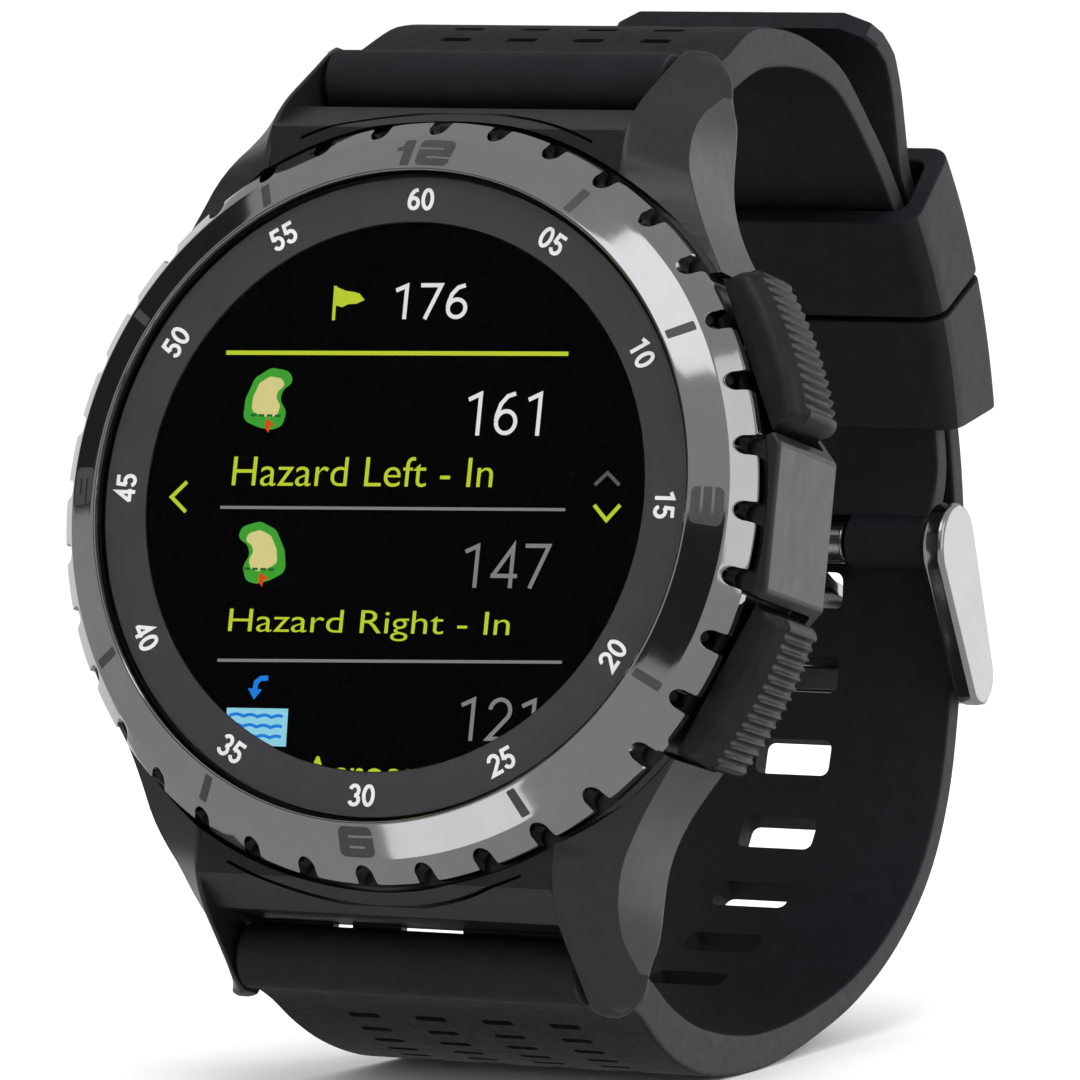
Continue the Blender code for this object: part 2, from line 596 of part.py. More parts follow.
def make_keepers(mats):
    low_deg, mid_low, mid_high, high_deg = KEEPER_DEG
    for name, first, last in (("keeper_lower", low_deg, mid_low), ("keeper_upper", mid_high, high_deg)):
        inner = arc(KEEPER_C, KEEPER_IN_R, first, last, 6)
        outer = arc(KEEPER_C, KEEPER_OUT_R, last, first, 6)
        keeper = prism(name, inner + outer, "x", -KEEPER_HALF, KEEPER_HALF, mats["rubber"])
        near = arc(KEEPER_C, KEEPER_IN_R + KEEPER_WALL, first - 5, last + 5, 9)
        far = arc(KEEPER_C, KEEPER_OUT_R - KEEPER_WALL, last + 5, first - 5, 9)
        half = KEEPER_HALF - KEEPER_WALL
        cut(keeper, prism("keeper_way", near + far, "x", -half, half, mats["rubber"]))


# --- Buckle ---
def buckle_arm(name, low, high, mats):
    """One side arm: a drop-shaped plate from the pin to the front bar."""
    pin_end = arc(PIN, 2.9, 30, 225, 10)
    bar_end = arc((65.2, -1.5), 2.0, 228, 385, 9)
    outline = pin_end + bar_end
    return prism(name, outline, "x", low, high, mats["steel"])


def make_buckle(mats):
    y, z = PIN
    inner, outer = 11.7, 13.3
    frame = buckle_arm("buckle_frame", inner, outer, mats)
    union(frame, buckle_arm("left_arm", -outer, -inner, mats))
    bar_y, bar_z = FRONT_BAR
    section = [(bar_y - 0.8, bar_z - 0.9), (bar_y + 0.5, bar_z - 1.2), (bar_y + 0.8, bar_z - 0.6),
               (bar_y + 0.8, bar_z + 0.8), (bar_y + 0.4, bar_z + 1.2), (bar_y - 0.8, bar_z + 1.0)]
    union(frame, prism("front_bar", section, "x", -12.6, 12.6, mats["steel"]))
    for hand in (1, -1):
        cut(frame, rod("pin_hole", 0.75, (hand * 11.0, y, z), (hand * 12.9, y, z), mats["steel"], 16))
    rod("buckle_bar", 0.6, (-12.6, y, z), (12.6, y, z), mats["steel"], 16)


def make_tang(mats):
    """The tongue: a rolled eye on the buckle bar and a bent blade through the strap slot."""
    y, z = PIN
    tang = rod("buckle_tang", 1.5, (-5.2, y, z), (5.2, y, z), mats["steel"], 24)
    bend = smooth_path([(59.6, 6.0), (61.4, 4.9), (63.4, 4.25), (66.3, 3.75), (67.9, 2.6), (68.6, 0.6),
                        (68.7, -3.0)], 0.8)
    half_t = 0.45
    sides = [[], []]
    for index, spot in enumerate(bend):
        normal = across(bend, index)
        sides[0].append(tuple(spot + normal * half_t))
        sides[1].append(tuple(spot - normal * half_t))
    blade = prism("blade", sides[0] + sides[1][::-1], "x", -2.2, 2.2, mats["steel"])
    union(tang, blade)
    cut(tang, rod("tang_bore", 0.85, (-20, y, z), (20, y, z), mats["steel"], 20))
    return tang


# --- Assembly ---
def pivots():
    """Where the moving pieces have their origins, in the watch frame."""
    spots = {"keeper_lower": (0, *KEEPER_C), "keeper_upper": (0, *KEEPER_C),
             "buckle_frame": (0, *PIN), "buckle_tang": (0, *PIN)}
    for where, angle in (("upper", PUSHER_DEG), ("lower", -PUSHER_DEG)):
        turn = math.radians(angle)
        on_axis = (PUSHER_BACK * math.cos(turn), PUSHER_Y, PUSHER_BACK * math.sin(turn))
        spots[f"pusher_{where}"] = on_axis
        spots[f"pusher_clip_{where}"] = on_axis
        for hand, end in (("left", -1), ("right", 1)):
            side = 1 if where == "upper" else -1
            spots[f"bar_tip_{where}_{hand}"] = (end * 12.0, BAR_Y, side * BAR_Z)
    return spots


def stand_up():
    """Leans the watch back on an empty and sets its lowest point at the origin's height."""
    stand = bpy.data.objects.new("stand", None)
    bpy.context.scene.collection.objects.link(stand)
    stand.rotation_euler = (-math.radians(LEAN_DEG), 0, 0)
    bpy.context.view_layer.update()
    meshes = [thing for thing in bpy.data.objects if thing.type == "MESH"]
    corners = [stand.matrix_world @ vertex.co for thing in meshes for vertex in thing.data.vertices]
    low = [min(c[k] for c in corners) for k in range(3)]
    high = [max(c[k] for c in corners) for k in range(3)]
    stand.location = (-(low[0] + high[0]) / 2, -(low[1] + high[1]) / 2, -low[2])
    spots = pivots()
    for thing in meshes:
        pivot = Vector(spots.get(thing.name, (0, 0, 0))) * MM
        thing.data.transform(Matrix.Translation(-pivot))
        thing.location = pivot
        thing.parent = stand


def main():
    for thing in list(bpy.data.objects):
        bpy.data.objects.remove(thing)
    mats = make_materials()
    make_glass(mats)
    make_dial(mats)
    make_bezel(mats)
    make_case(mats)
    make_back(mats)
    make_inside(mats)
    make_pushers(mats)
    make_spring_bars(mats)
    make_long_strap(mats)
    make_short_strap(mats)
    make_keepers(mats)
    make_buckle(mats)
    make_tang(mats)
    stand_up()


main()
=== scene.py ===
"""Looks of the golf GPS watch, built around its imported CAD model.

Shapes are drawn in the watch's own frame, in millimetres: X towards 3 o'clock, Y into the case from the
dial, Z towards 12 o'clock, with the centre of the dial at the origin.
"""
import contextlib
import json
from math import atan, atan2, cos, degrees, hypot, pi, radians, sin, sqrt, tan

import bmesh
import bpy
import numpy as np
from mathutils import Matrix, Vector


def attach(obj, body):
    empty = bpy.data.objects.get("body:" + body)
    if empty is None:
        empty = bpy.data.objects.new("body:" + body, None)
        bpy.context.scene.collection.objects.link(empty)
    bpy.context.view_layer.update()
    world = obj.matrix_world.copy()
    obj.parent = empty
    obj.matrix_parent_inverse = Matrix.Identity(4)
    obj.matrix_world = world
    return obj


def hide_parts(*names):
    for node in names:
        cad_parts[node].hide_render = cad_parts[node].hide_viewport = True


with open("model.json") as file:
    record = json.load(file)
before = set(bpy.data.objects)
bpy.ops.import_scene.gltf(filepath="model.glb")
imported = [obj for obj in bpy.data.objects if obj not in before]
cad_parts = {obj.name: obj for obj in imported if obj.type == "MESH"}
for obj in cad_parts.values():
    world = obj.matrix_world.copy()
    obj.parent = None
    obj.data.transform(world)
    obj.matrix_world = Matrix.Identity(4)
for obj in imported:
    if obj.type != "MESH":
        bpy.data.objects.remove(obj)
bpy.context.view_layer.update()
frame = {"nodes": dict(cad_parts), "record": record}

RECORD = frame["record"]
TURN_JOINT = next(j for j in RECORD["behaviour"]["joints"] if j["name"] == "bezel_turn")
DIAL = Vector(TURN_JOINT["pos_m"])
INTO = Vector(TURN_JOINT["axis"])
LEAN = atan2(-INTO.z, INTO.y)
WATCH = Matrix.Translation(DIAL) @ Matrix.Rotation(-LEAN, 4, "X") @ Matrix.Scale(0.001, 4)

# --- Dimensions, millimetres ---
BEZEL_IN, BEZEL_OUT, BEZEL_BACK = 20.75, 24.4, 3.3
NOTCHES, NOTCH_R, NOTCH_HALF = 36, 23.96, 0.625
CASE_R, CASE_FRONT, CASE_BACK = 24.7, 3.75, 12.5
LUG_IN, CASE_END_Z = 12.4, 26.0
BAR_Y, BAR_Z = 10.5, 28.5
PUSHER_DEG, PUSHER_HALF_DEG, PUSHER_R, PUSHER_BACK, PUSHER_Y = 25.0, 11.5, 27.0, 24.2, 7.4
KEEPER_C = (28.0, 1.5)
KEEPER_IN, KEEPER_OUT, KEEPER_WALL, KEEPER_HALF = 31.2, 39.0, 1.4, 13.4
PIN = (59.0, 6.6)
SCREEN_Y, SCREEN_R = 0.45, 17.5  # front face and radius of the screen
STRAP_STEP, STRAP_EDGE = 0.75, 0.32


# --- Materials ---
class Nodes:
    """A Principled material and short ways to add procedural detail to it."""

    def __init__(self, name, colour, rough, metal=0.0, **sockets):
        self.made = bpy.data.materials.new(name)
        self.made.use_nodes = True
        self.tree = self.made.node_tree
        self.shader = self.tree.nodes["Principled BSDF"]
        sockets.update(Base_Color=(*colour, 1), Roughness=rough, Metallic=metal)
        for key, value in sockets.items():
            self.shader.inputs[key.replace("_", " ")].default_value = value
        self.place = self.tree.nodes.new("ShaderNodeTexCoord").outputs["Object"]

    def node(self, kind, **values):
        made = self.tree.nodes.new("ShaderNode" + kind)
        for key, value in values.items():
            if key in made.inputs:
                made.inputs[key].default_value = value
            else:
                setattr(made, key, value)
        return made

    def link(self, out, into):
        self.tree.links.new(out, into)

    def noise(self, scale, detail, stretch=None):
        made = self.node("TexNoise", Scale=scale, Detail=detail, Roughness=0.5)
        source = self.place
        if stretch:
            mapping = self.node("Mapping", Scale=stretch)
            self.link(source, mapping.inputs["Vector"])
            source = mapping.outputs["Vector"]
        self.link(source, made.inputs["Vector"])
        return made.outputs["Fac"]

    def ramp(self, fac, low, high, first, last):
        made = self.node("ValToRGB")
        for element, position, colour in zip(made.color_ramp.elements, (low, high), (first, last)):
            element.position = position
            element.color = (*colour, 1)
        self.link(fac, made.inputs["Fac"])
        return made.outputs["Color"]

    def tint(self, fac, first, last, low=0.3, high=0.7):
        self.link(self.ramp(fac, low, high, first, last), self.shader.inputs["Base Color"])

    def rough(self, fac, least, most):
        spread = self.node("MapRange", **{"From Min": 0.3, "From Max": 0.7, "To Min": least, "To Max": most})
        self.link(fac, spread.inputs["Value"])
        self.link(spread.outputs["Result"], self.shader.inputs["Roughness"])

    def bump(self, fac, strength, depth):
        made = self.node("Bump", Strength=strength, Distance=depth)
        self.link(fac, made.inputs["Height"])
        self.link(made.outputs["Normal"], self.shader.inputs["Normal"])


def case_coat():
    m = Nodes("case_black_satin", (0.085, 0.079, 0.08), 0.34, 0.9)
    m.tint(m.noise(1800, 2), (0.081, 0.075, 0.077), (0.089, 0.083, 0.084))
    m.rough(m.noise(900, 4), 0.33, 0.37)
    m.bump(m.noise(5200, 2), 0.05, 0.00001)
    return m.made


def facet_painted_light_coat():
    """The brushed flats of the lugs and crown guard, in a lighter grey than the dark case finish: painted
    light standing for the side light the flats catch.
    """
    m = Nodes("case_facet_painted_light", (0.175, 0.178, 0.175), 0.42, 0.9)
    m.tint(m.noise(1500, 3, stretch=(1.0, 1.0, 0.2)), (0.165, 0.168, 0.165), (0.183, 0.187, 0.183))
    m.rough(m.noise(1200, 4), 0.4, 0.46)
    m.bump(m.noise(4000, 2, stretch=(1.0, 1.0, 0.15)), 0.06, 0.00001)
    return m.made


def gunmetal():
    m = Nodes("bezel_gunmetal", (0.6, 0.593, 0.607), 0.1, 1.0)
    m.tint(m.noise(420, 3), (0.58, 0.573, 0.59), (0.61, 0.604, 0.62))
    m.rough(m.noise(700, 4), 0.07, 0.1)
    m.bump(m.noise(6000, 2), 0.03, 0.00001)
    return m.made


def grained(name, first, last, least, most, grain=3800, strength=0.25, metal=0.0, **sockets):
    """A moulded surface with a fine grain and a slight change of tone."""
    m = Nodes(name, first, least, metal, **sockets)
    m.tint(m.noise(600, 4), first, last)
    m.rough(m.noise(grain / 3, 3), least, most)
    m.bump(m.noise(grain, 3), strength, 0.00003)
    return m.made


def steel(name="polished_steel", tone=(0.72, 0.715, 0.70), rough=(0.12, 0.2)):
    m = Nodes(name, tone, rough[0], 1.0)
    m.tint(m.noise(300, 3), tuple(0.95 * v for v in tone), tone)
    m.rough(m.noise(900, 5, stretch=(1.0, 6.0, 1.0)), *rough)
    m.bump(m.noise(3000, 3, stretch=(1.0, 5.0, 1.0)), 0.04, 0.00001)
    return m.made


def lit(name, colour):
    """Part of the picture on the screen."""
    m = Nodes(name, (0.0, 0.0, 0.0), 0.5, Emission_Strength=1.0, Specular_IOR_Level=0.0)
    tone = m.ramp(m.noise(9000, 1), 0.2, 0.8, tuple(0.94 * v for v in colour), colour)
    m.link(tone, m.shader.inputs["Emission Color"])
    return m.made


def glass():
    """A clear cover that lets the light straight through and keeps a faint shine."""
    m = Nodes("front_glass", (0.0, 0.0, 0.0), 0.01, 0.0, IOR=2.0, Alpha=0.1)
    m.rough(m.noise(500, 2), 0.01, 0.02)
    return m.made


def board():
    m = Nodes("board_green", (0.01, 0.1, 0.05), 0.4)
    m.tint(m.noise(1500, 5), (0.008, 0.08, 0.04), (0.03, 0.16, 0.07), 0.45, 0.55)
    m.bump(m.noise(2500, 4), 0.3, 0.00004)
    return m.made


def make_materials():
    return {
        "case": case_coat(),
        "facet": facet_painted_light_coat(),
        "bezel": gunmetal(),
        "inlay": grained("bezel_inlay", (0.034, 0.03, 0.03), (0.044, 0.04, 0.039), 0.45, 0.55, 5000),
        "steel": steel(),
        "spring": steel("spring_steel", (0.5, 0.5, 0.51), (0.25, 0.35)),
        "glass": glass(),
        "ring": grained("ring_print", (0.043, 0.04, 0.044), (0.048, 0.045, 0.049), 0.5, 0.6, 6000, 0.1),
        "print": grained("white_print", (0.78, 0.78, 0.78), (0.86, 0.86, 0.86), 0.45, 0.55, 6000, 0.05),
        "screen": grained("screen_black", (0.0008, 0.0008, 0.001), (0.0014, 0.0014, 0.0018), 0.25, 0.3, 5000,
                          0.02, Specular_IOR_Level=0.1),
        "strap": grained("strap_rubber", (0.0062, 0.0062, 0.0088), (0.0085, 0.0085, 0.012), 0.52, 0.64, 4200,
                         0.25, Specular_IOR_Level=0.35),
        # Painted light: the same rubber made lighter for the strap's flat sides, standing for the side light
        # that falls on them.
        "strap_painted_light_side": grained("strap_rubber_painted_light_side", (0.026, 0.027, 0.029), (0.031, 0.032, 0.034), 0.55, 0.65,
                              4200, 0.25, Specular_IOR_Level=0.4),
        "seal": grained("seal_rubber", (0.02, 0.02, 0.02), (0.03, 0.03, 0.03), 0.6, 0.75),
        "pusher": grained("pusher_plastic", (0.006, 0.006, 0.0065), (0.009, 0.009, 0.0098), 0.33, 0.4, 5200,
                          0.1, Specular_IOR_Level=0.4),
        "frame": grained("frame_plastic", (0.1, 0.1, 0.11), (0.14, 0.14, 0.15), 0.5, 0.65),
        "board": board(),
        "cell": grained("foil_cell", (0.4, 0.41, 0.43), (0.5, 0.51, 0.53), 0.3, 0.45, 1500, 0.3, 0.8),
        "ceramic": grained("ceramic", (0.7, 0.65, 0.55), (0.78, 0.73, 0.64), 0.45, 0.55),
        "gold": steel("contact_gold", (0.85, 0.62, 0.26), (0.18, 0.28)),
    }


MATS = make_materials()
PAINTED_LIGHT_COPY = {"case": "facet", "strap": "strap_painted_light_side"}  # painted light: the lighter copy of a piece's finish, given to its faces that catch the side light


# --- Mesh helpers ---
def add(name, data):
    """A new object in the scene."""
    thing = bpy.data.objects.new(name, data)
    bpy.context.scene.collection.objects.link(thing)
    return thing


@contextlib.contextmanager
def editing(mesh):
    """The mesh as a bmesh, which is written back at the end."""
    bm = bmesh.new()
    bm.from_mesh(mesh)
    yield bm
    bm.to_mesh(mesh)
    bm.free()


def soften(bm, edges, size, segments=3):
    bmesh.ops.bevel(bm, geom=edges, offset=size, segments=segments, affect="EDGES", profile=0.5)


def solid(bm, name="part", finish="case"):
    """A plain mesh object still in the watch's frame, for joining and cutting."""
    bmesh.ops.recalc_face_normals(bm, faces=bm.faces)
    mesh = bpy.data.meshes.new(name)
    bm.to_mesh(mesh)
    bm.free()
    mesh.materials.append(MATS[finish])
    # The lighter copy goes in the second slot; it is painted light for the faces that catch the side light.
    if finish in PAINTED_LIGHT_COPY:
        mesh.materials.append(MATS[PAINTED_LIGHT_COPY[finish]])
    return add(name, mesh)


def combine(target, other, operation):
    """Joins other to target, or cuts it away, and drops other."""
    step = target.modifiers.new(operation, "BOOLEAN")
    step.object = other
    step.operation = operation
    step.solver = "EXACT"
    graph = bpy.context.evaluated_depsgraph_get()
    mesh = bpy.data.meshes.new_from_object(target.evaluated_get(graph))
    target.modifiers.clear()
    with editing(mesh) as bm:
        bmesh.ops.remove_doubles(bm, verts=bm.verts, dist=0.003)
        bmesh.ops.dissolve_degenerate(bm, edges=bm.edges, dist=0.001)
    target.data = mesh
    bpy.data.objects.remove(other)
    return target


def union(target, other):
    return combine(target, other, "UNION")


def cut(target, other):
    return combine(target, other, "DIFFERENCE")


def settle(thing, name, body, node, smooth_deg=32, weighted=True):
    """Moves a finished shape from the watch's frame to the CAD's, and says what it stands for."""
    thing.name = name
    thing.data.transform(WATCH)
    thing.data.shade_smooth()
    thing.data.set_sharp_from_angle(angle=radians(smooth_deg))
    if weighted:
        weigh = thing.modifiers.new("weigh", "WEIGHTED_NORMAL")
        weigh.keep_sharp = True
    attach(thing, body)
    if node:
        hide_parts(node)


def turned(profile, segments=144, finish="case"):
    """A closed profile of (radius, y) turned once about the dial's axis."""
    bm = bmesh.new()
    verts = [bm.verts.new((r, y, 0)) for r, y in profile]
    edges = [bm.edges.new((a, b)) for a, b in zip(verts, verts[1:] + verts[:1])]
    bmesh.ops.spin(bm, geom=verts + edges, axis=(0, 1, 0), cent=(0, 0, 0),
                   angle=2 * pi, steps=segments, use_merge=True)
    bmesh.ops.remove_doubles(bm, verts=bm.verts, dist=1e-4)
    on_axis = [edge for edge in bm.edges if not edge.link_faces]
    bmesh.ops.delete(bm, geom=on_axis, context="EDGES")
    return solid(bm, "turned", finish)


def rod(radius, start, end, finish="case", segments=32, bevel=0.0):
    start = Vector(start)
    along = Vector(end) - start
    turn = along.to_track_quat("Z", "Y").to_matrix().to_4x4()
    place = Matrix.Translation(start + along / 2) @ turn
    bm = bmesh.new()
    bmesh.ops.create_cone(bm, cap_ends=True, segments=segments, radius1=radius, radius2=radius,
                          depth=along.length, matrix=place)
    if bevel:
        rims = [e for e in bm.edges if any(len(f.verts) > 4 for f in e.link_faces)]
        soften(bm, rims, bevel)
    return solid(bm, "rod", finish)


def prism_mesh(outline, axis, low, high):
    spots = {"y": lambda a, b: (a, low, b), "x": lambda a, b: (low, a, b), "z": lambda a, b: (a, b, low)}
    move = {"y": (0, high - low, 0), "x": (high - low, 0, 0), "z": (0, 0, high - low)}
    bm = bmesh.new()
    face = bm.faces.new([bm.verts.new(spots[axis](a, b)) for a, b in outline])
    pulled = bmesh.ops.extrude_face_region(bm, geom=[face])["geom"]
    bmesh.ops.translate(bm, vec=move[axis], verts=[v for v in pulled if isinstance(v, bmesh.types.BMVert)])
    bmesh.ops.recalc_face_normals(bm, faces=bm.faces)
    return bm


def prism(outline, axis, low, high, finish="case", bevel=0.0, segments=3, rims_only=False):
    """An outline pulled along an axis, with its edges rounded if bevel is given."""
    bm = prism_mesh(outline, axis, low, high)
    if bevel:
        round_edges(bm, bevel, segments, across_axis="xyz".index(axis) if rims_only else None)
    return solid(bm, "prism", finish)


def round_edges(bm, size, segments=3, least_deg=25, across_axis=None):
    """Rounds the edges that turn more than least_deg, or only those across an axis."""
    chosen = [e for e in bm.edges if degrees(e.calc_face_angle(0)) > least_deg]
    if across_axis is not None:
        chosen = [e for e in chosen if abs((e.verts[0].co - e.verts[1].co)[across_axis]) < 1e-4]
    soften(bm, chosen, size, segments)


def block(low, high, finish="case", bevel=0.0):
    bm = bmesh.new()
    bmesh.ops.create_cube(bm, size=1.0)
    bmesh.ops.scale(bm, vec=[b - a for a, b in zip(low, high)], verts=bm.verts)
    bmesh.ops.translate(bm, vec=[(a + b) / 2 for a, b in zip(low, high)], verts=bm.verts)
    if bevel:
        soften(bm, bm.edges[:], bevel)
    return solid(bm, "block", finish)


def turn_about_y(thing, turn_deg):
    thing.data.transform(Matrix.Rotation(-radians(turn_deg), 4, "Y"))
    return thing


def oval(x, z, wide, tall, first_deg, last_deg, count=18):
    angles = np.radians(np.linspace(first_deg, last_deg, count))
    return [(x + wide * cos(a), z + tall * sin(a)) for a in angles]


def arc(centre, radius, first_deg, last_deg, count):
    return oval(*centre, radius, radius, first_deg, last_deg, count)


def rounded(outline, radius, steps=4):
    """A closed 2-D outline with every corner rounded; radius may be one number or one for each corner."""
    sizes = radius if isinstance(radius, (list, tuple)) else [radius] * len(outline)
    made = []
    for k, spot in enumerate(outline):
        here = Vector(spot)
        before = Vector(outline[k - 1]) - here
        after = Vector(outline[(k + 1) % len(outline)]) - here
        half = before.angle(after) / 2
        reach = min(sizes[k] / max(tan(half), 1e-3), 0.45 * before.length, 0.45 * after.length)
        if sizes[k] <= 0:
            made.append(tuple(here))
            continue
        a, b = here + before.normalized() * reach, here + after.normalized() * reach
        for step in range(steps + 1):
            t = step / steps
            made.append(tuple(a * (1 - t) ** 2 + here * 2 * t * (1 - t) + b * t ** 2))
    return made


def loft(loops, caps=True):
    """Joins closed loops of equal length, given in the watch's frame, into one skin."""
    bm = bmesh.new()
    rings = [[bm.verts.new(p) for p in loop] for loop in loops]
    count = len(rings[0])
    for one, two in zip(rings, rings[1:]):
        for k in range(count):
            bm.faces.new((one[k], one[(k + 1) % count], two[(k + 1) % count], two[k]))
    if caps:
        bm.faces.new(rings[0][::-1])
        bm.faces.new(rings[-1])
    return bm


# --- Bezel ---
CONE_SLOPE = 0.5909
CONE_TILT = atan(CONE_SLOPE)


def cone_y(r):
    return -0.35 + (r - 20.9) * CONE_SLOPE


def strip_y(r):
    return 0.95 + (r - 23.1) * 1.25


def notch_columns():
    """(angle, edge radius) pairs for one notch and the land after it, from the notch's middle."""
    cuts = []
    for t in range(-80, 81, 20):
        x = NOTCH_R - NOTCH_HALF * cos(radians(t))
        z = NOTCH_HALF * sin(radians(t))
        cuts.append((atan2(z, x), hypot(x, z)))
    side = [(NOTCH_R, 0.625), (24.12, 0.628), (24.33, 0.66), (24.4, 0.76)]
    right = [(atan2(z, x), min(hypot(x, z), BEZEL_OUT)) for x, z in side]
    left = [(-a, r) for a, r in reversed(right)]
    step = 2 * pi / NOTCHES
    first, last = right[-1][0], step - right[-1][0]
    land = [(first + (last - first) * k / 6, BEZEL_OUT) for k in range(1, 6)]
    return left + cuts + right + land


def bezel_section(edge):
    """The bezel's closed section as (radius, y), out to the given edge radius."""
    section = [(BEZEL_IN, 1.0), (BEZEL_IN, -0.18), (20.775, -0.27), (20.84, -0.325), (20.92, -0.325),
               (20.99, -0.291)]
    section += [(r, cone_y(r)) for r in np.linspace(21.05, 23.02, 7)]
    section += [(23.08, 0.943), (23.13, 0.992)]
    last = edge - 0.11
    section += [(r, strip_y(r)) for r in np.linspace(23.17, last, 5)]
    y = strip_y(last)
    section += [(edge - 0.05, y + 0.09), (edge - 0.012, y + 0.17), (edge, y + 0.27), (edge, BEZEL_BACK)]
    section += [(22.9, BEZEL_BACK), (22.9, 2.0), (21.7, 1.0)]
    return section


def make_bezel():
    loops = []
    for notch in range(NOTCHES):
        for angle, edge in notch_columns():
            a = angle + 2 * pi * notch / NOTCHES
            loops.append([(r * cos(a), y, r * sin(a)) for r, y in bezel_section(edge)])
    bm = loft(loops + [loops[0]], caps=False)
    bmesh.ops.remove_doubles(bm, verts=bm.verts, dist=1e-4)
    bezel = solid(bm, "bezel_ring", "bezel")
    settle(bezel, "bezel_ring", "bezel_ring", "bezel", 28)


def glyph(kind):
    """A squared numeral, 2.1 mm high, with thin slits for its openings; x across, z up."""
    low, high = -0.3, 0.014
    if kind == "1":
        outline = [(-0.62, 0.5), (-0.3, 0.52), (-0.12, 1.05), (0.5, 1.05), (0.5, -1.05), (-0.16, -1.05),
                   (-0.16, 0.2), (-0.62, 0.2)]
        return prism(rounded(outline, 0.08, 2), "y", low, high, "inlay")
    w, h, slit = 1.2, 1.05, 0.085
    shape = prism(rounded([(-w, -h), (w, -h), (w, h), (-w, h)], 0.5, 5), "y", low, high, "inlay")
    slits = {"6": [(-0.5, 1.5, 0.36), (-0.5, 0.55, -0.36)], "9": [(-0.55, 0.5, 0.36), (-1.5, 0.5, -0.36)],
             "3": [(-1.5, 0.5, 0.36), (-1.5, 0.5, -0.36)], "2": [(-1.5, 0.5, 0.36), (-0.5, 1.5, -0.36)]}
    for left, right, z in slits[kind]:
        cut(shape, block((left, low - 1, z - slit), (right, high + 1, z + slit)))
    return shape


def onto_cone(thing, angle_deg, shift, upright_out, centre_r=22.0):
    """Bends a flat inlay onto the bezel's cone at an angle; shift moves it sideways first."""
    sign = 1 if upright_out else -1
    with editing(thing.data) as bm:
        for x in np.arange(-1.1, 1.15, 0.22):
            geometry = bm.verts[:] + bm.edges[:] + bm.faces[:]
            bmesh.ops.bisect_plane(bm, geom=geometry, plane_co=(x, 0, 0), plane_no=(1, 0, 0))
        for vert in bm.verts:
            t, lift, s = sign * (vert.co.x + shift), vert.co.y, sign * vert.co.z
            r = centre_r + s * cos(CONE_TILT) + lift * sin(CONE_TILT)
            y = cone_y(centre_r) + s * sin(CONE_TILT) - lift * cos(CONE_TILT)
            a = radians(angle_deg) - t / centre_r
            vert.co = (r * cos(a), y, r * sin(a))
    return thing


def make_inlays():
    spots = [("1", 90, -1.38, True), ("2", 90, 0.72, True), ("3", 0, 0, True), ("6", -90, 0, False),
             ("9", 180, 0, True)]
    for kind, angle, shift, out in spots:
        made = onto_cone(glyph(kind), angle, shift, out)
        settle(made, f"bezel_numeral_{kind}_at_{angle % 360}", "bezel_ring", None, weighted=False)
    for angle in range(0, 360, 30):
        if angle % 90:
            bar = prism(rounded([(-0.3, -0.98), (0.3, -0.98), (0.3, 0.98), (-0.3, 0.98)], 0.1, 3), "y", -0.3,
                        0.014, "inlay")
            made = onto_cone(bar, angle, 0, True)
            settle(made, f"bezel_bar_at_{angle}", "bezel_ring", None, weighted=False)


# --- Glass, minute ring and screen ---
def make_glass():
    profile = [(0.0, -0.45), (20.2, -0.45), (20.33, -0.435), (20.42, -0.38), (20.45, -0.3), (20.45, 0.15),
               (0.0, 0.15)]
    settle(turned(profile, 144, "glass"), "glass_disc", "watch_case", "front_glass")


def text_mesh(body, finish, bold=0.0):
    """Flat lettering as a mesh, its box from (0, 0) to (1, 1) in x and z, with a little thickness in y."""
    curve = bpy.data.curves.new("lettering", "FONT")
    curve.body = body
    curve.size = 1.0
    curve.offset = bold
    curve.resolution_u = 5
    curve.fill_mode = "BOTH"
    curve.extrude = 0.004
    holder = add("lettering", curve)
    graph = bpy.context.evaluated_depsgraph_get()
    mesh = bpy.data.meshes.new_from_object(holder.evaluated_get(graph))
    bpy.data.objects.remove(holder)
    bm = bmesh.new()
    bm.from_mesh(mesh)
    bmesh.ops.remove_doubles(bm, verts=bm.verts, dist=1e-5)
    xs = [v.co.x for v in bm.verts]
    zs = [v.co.y for v in bm.verts]
    for vert in bm.verts:
        x, z, lift = vert.co
        vert.co = ((x - min(xs)) / (max(xs) - min(xs)), -0.015 if lift > 0 else 0.015,
                   (z - min(zs)) / (max(zs) - min(zs)))
    return solid(bm, "lettering", finish)


def write(body, finish, low, high, y, bold=0.0, slope=0.0):
    """Lettering that fills a box from low to high (x, z), rising by slope along the line."""
    made = text_mesh(body, finish, bold)
    wide, tall = high[0] - low[0], high[1] - low[1]
    for vert in made.data.vertices:
        x, lift, z = vert.co
        vert.co = (low[0] + x * wide, y + lift, low[1] + z * tall + x * wide * slope)
    return made


def make_minute_ring():
    profile = [(17.56, 0.5), (17.6, 0.46), (20.4, 0.45), (20.4, 1.05), (17.56, 1.05)]
    settle(turned(profile, 144, "ring"), "minute_ring_print", "watch_case", "minute_ring")
    half_wide, half_tall, centre_r = 0.93, 0.68, 19.02
    for minute in range(5, 65, 5):
        angle = 90 - 6 * minute
        outward = not 15 < minute < 45
        label = f"{minute:02d}"
        made = number(label, "print", (-half_wide, -half_tall), (half_wide, half_tall), 0.0, 0.24)
        turn_about_y(made, angle - 90 if outward else angle + 90)
        spot = (centre_r * cos(radians(angle)), 0.44, centre_r * sin(radians(angle)))
        made.data.transform(Matrix.Translation(spot))
        settle(made, f"minute_{label}", "watch_case", None, weighted=False)


def flat(outline, finish, y=SCREEN_Y + 0.1, thick=0.03):
    return prism(outline, "y", y - thick, y + 0.01, finish)


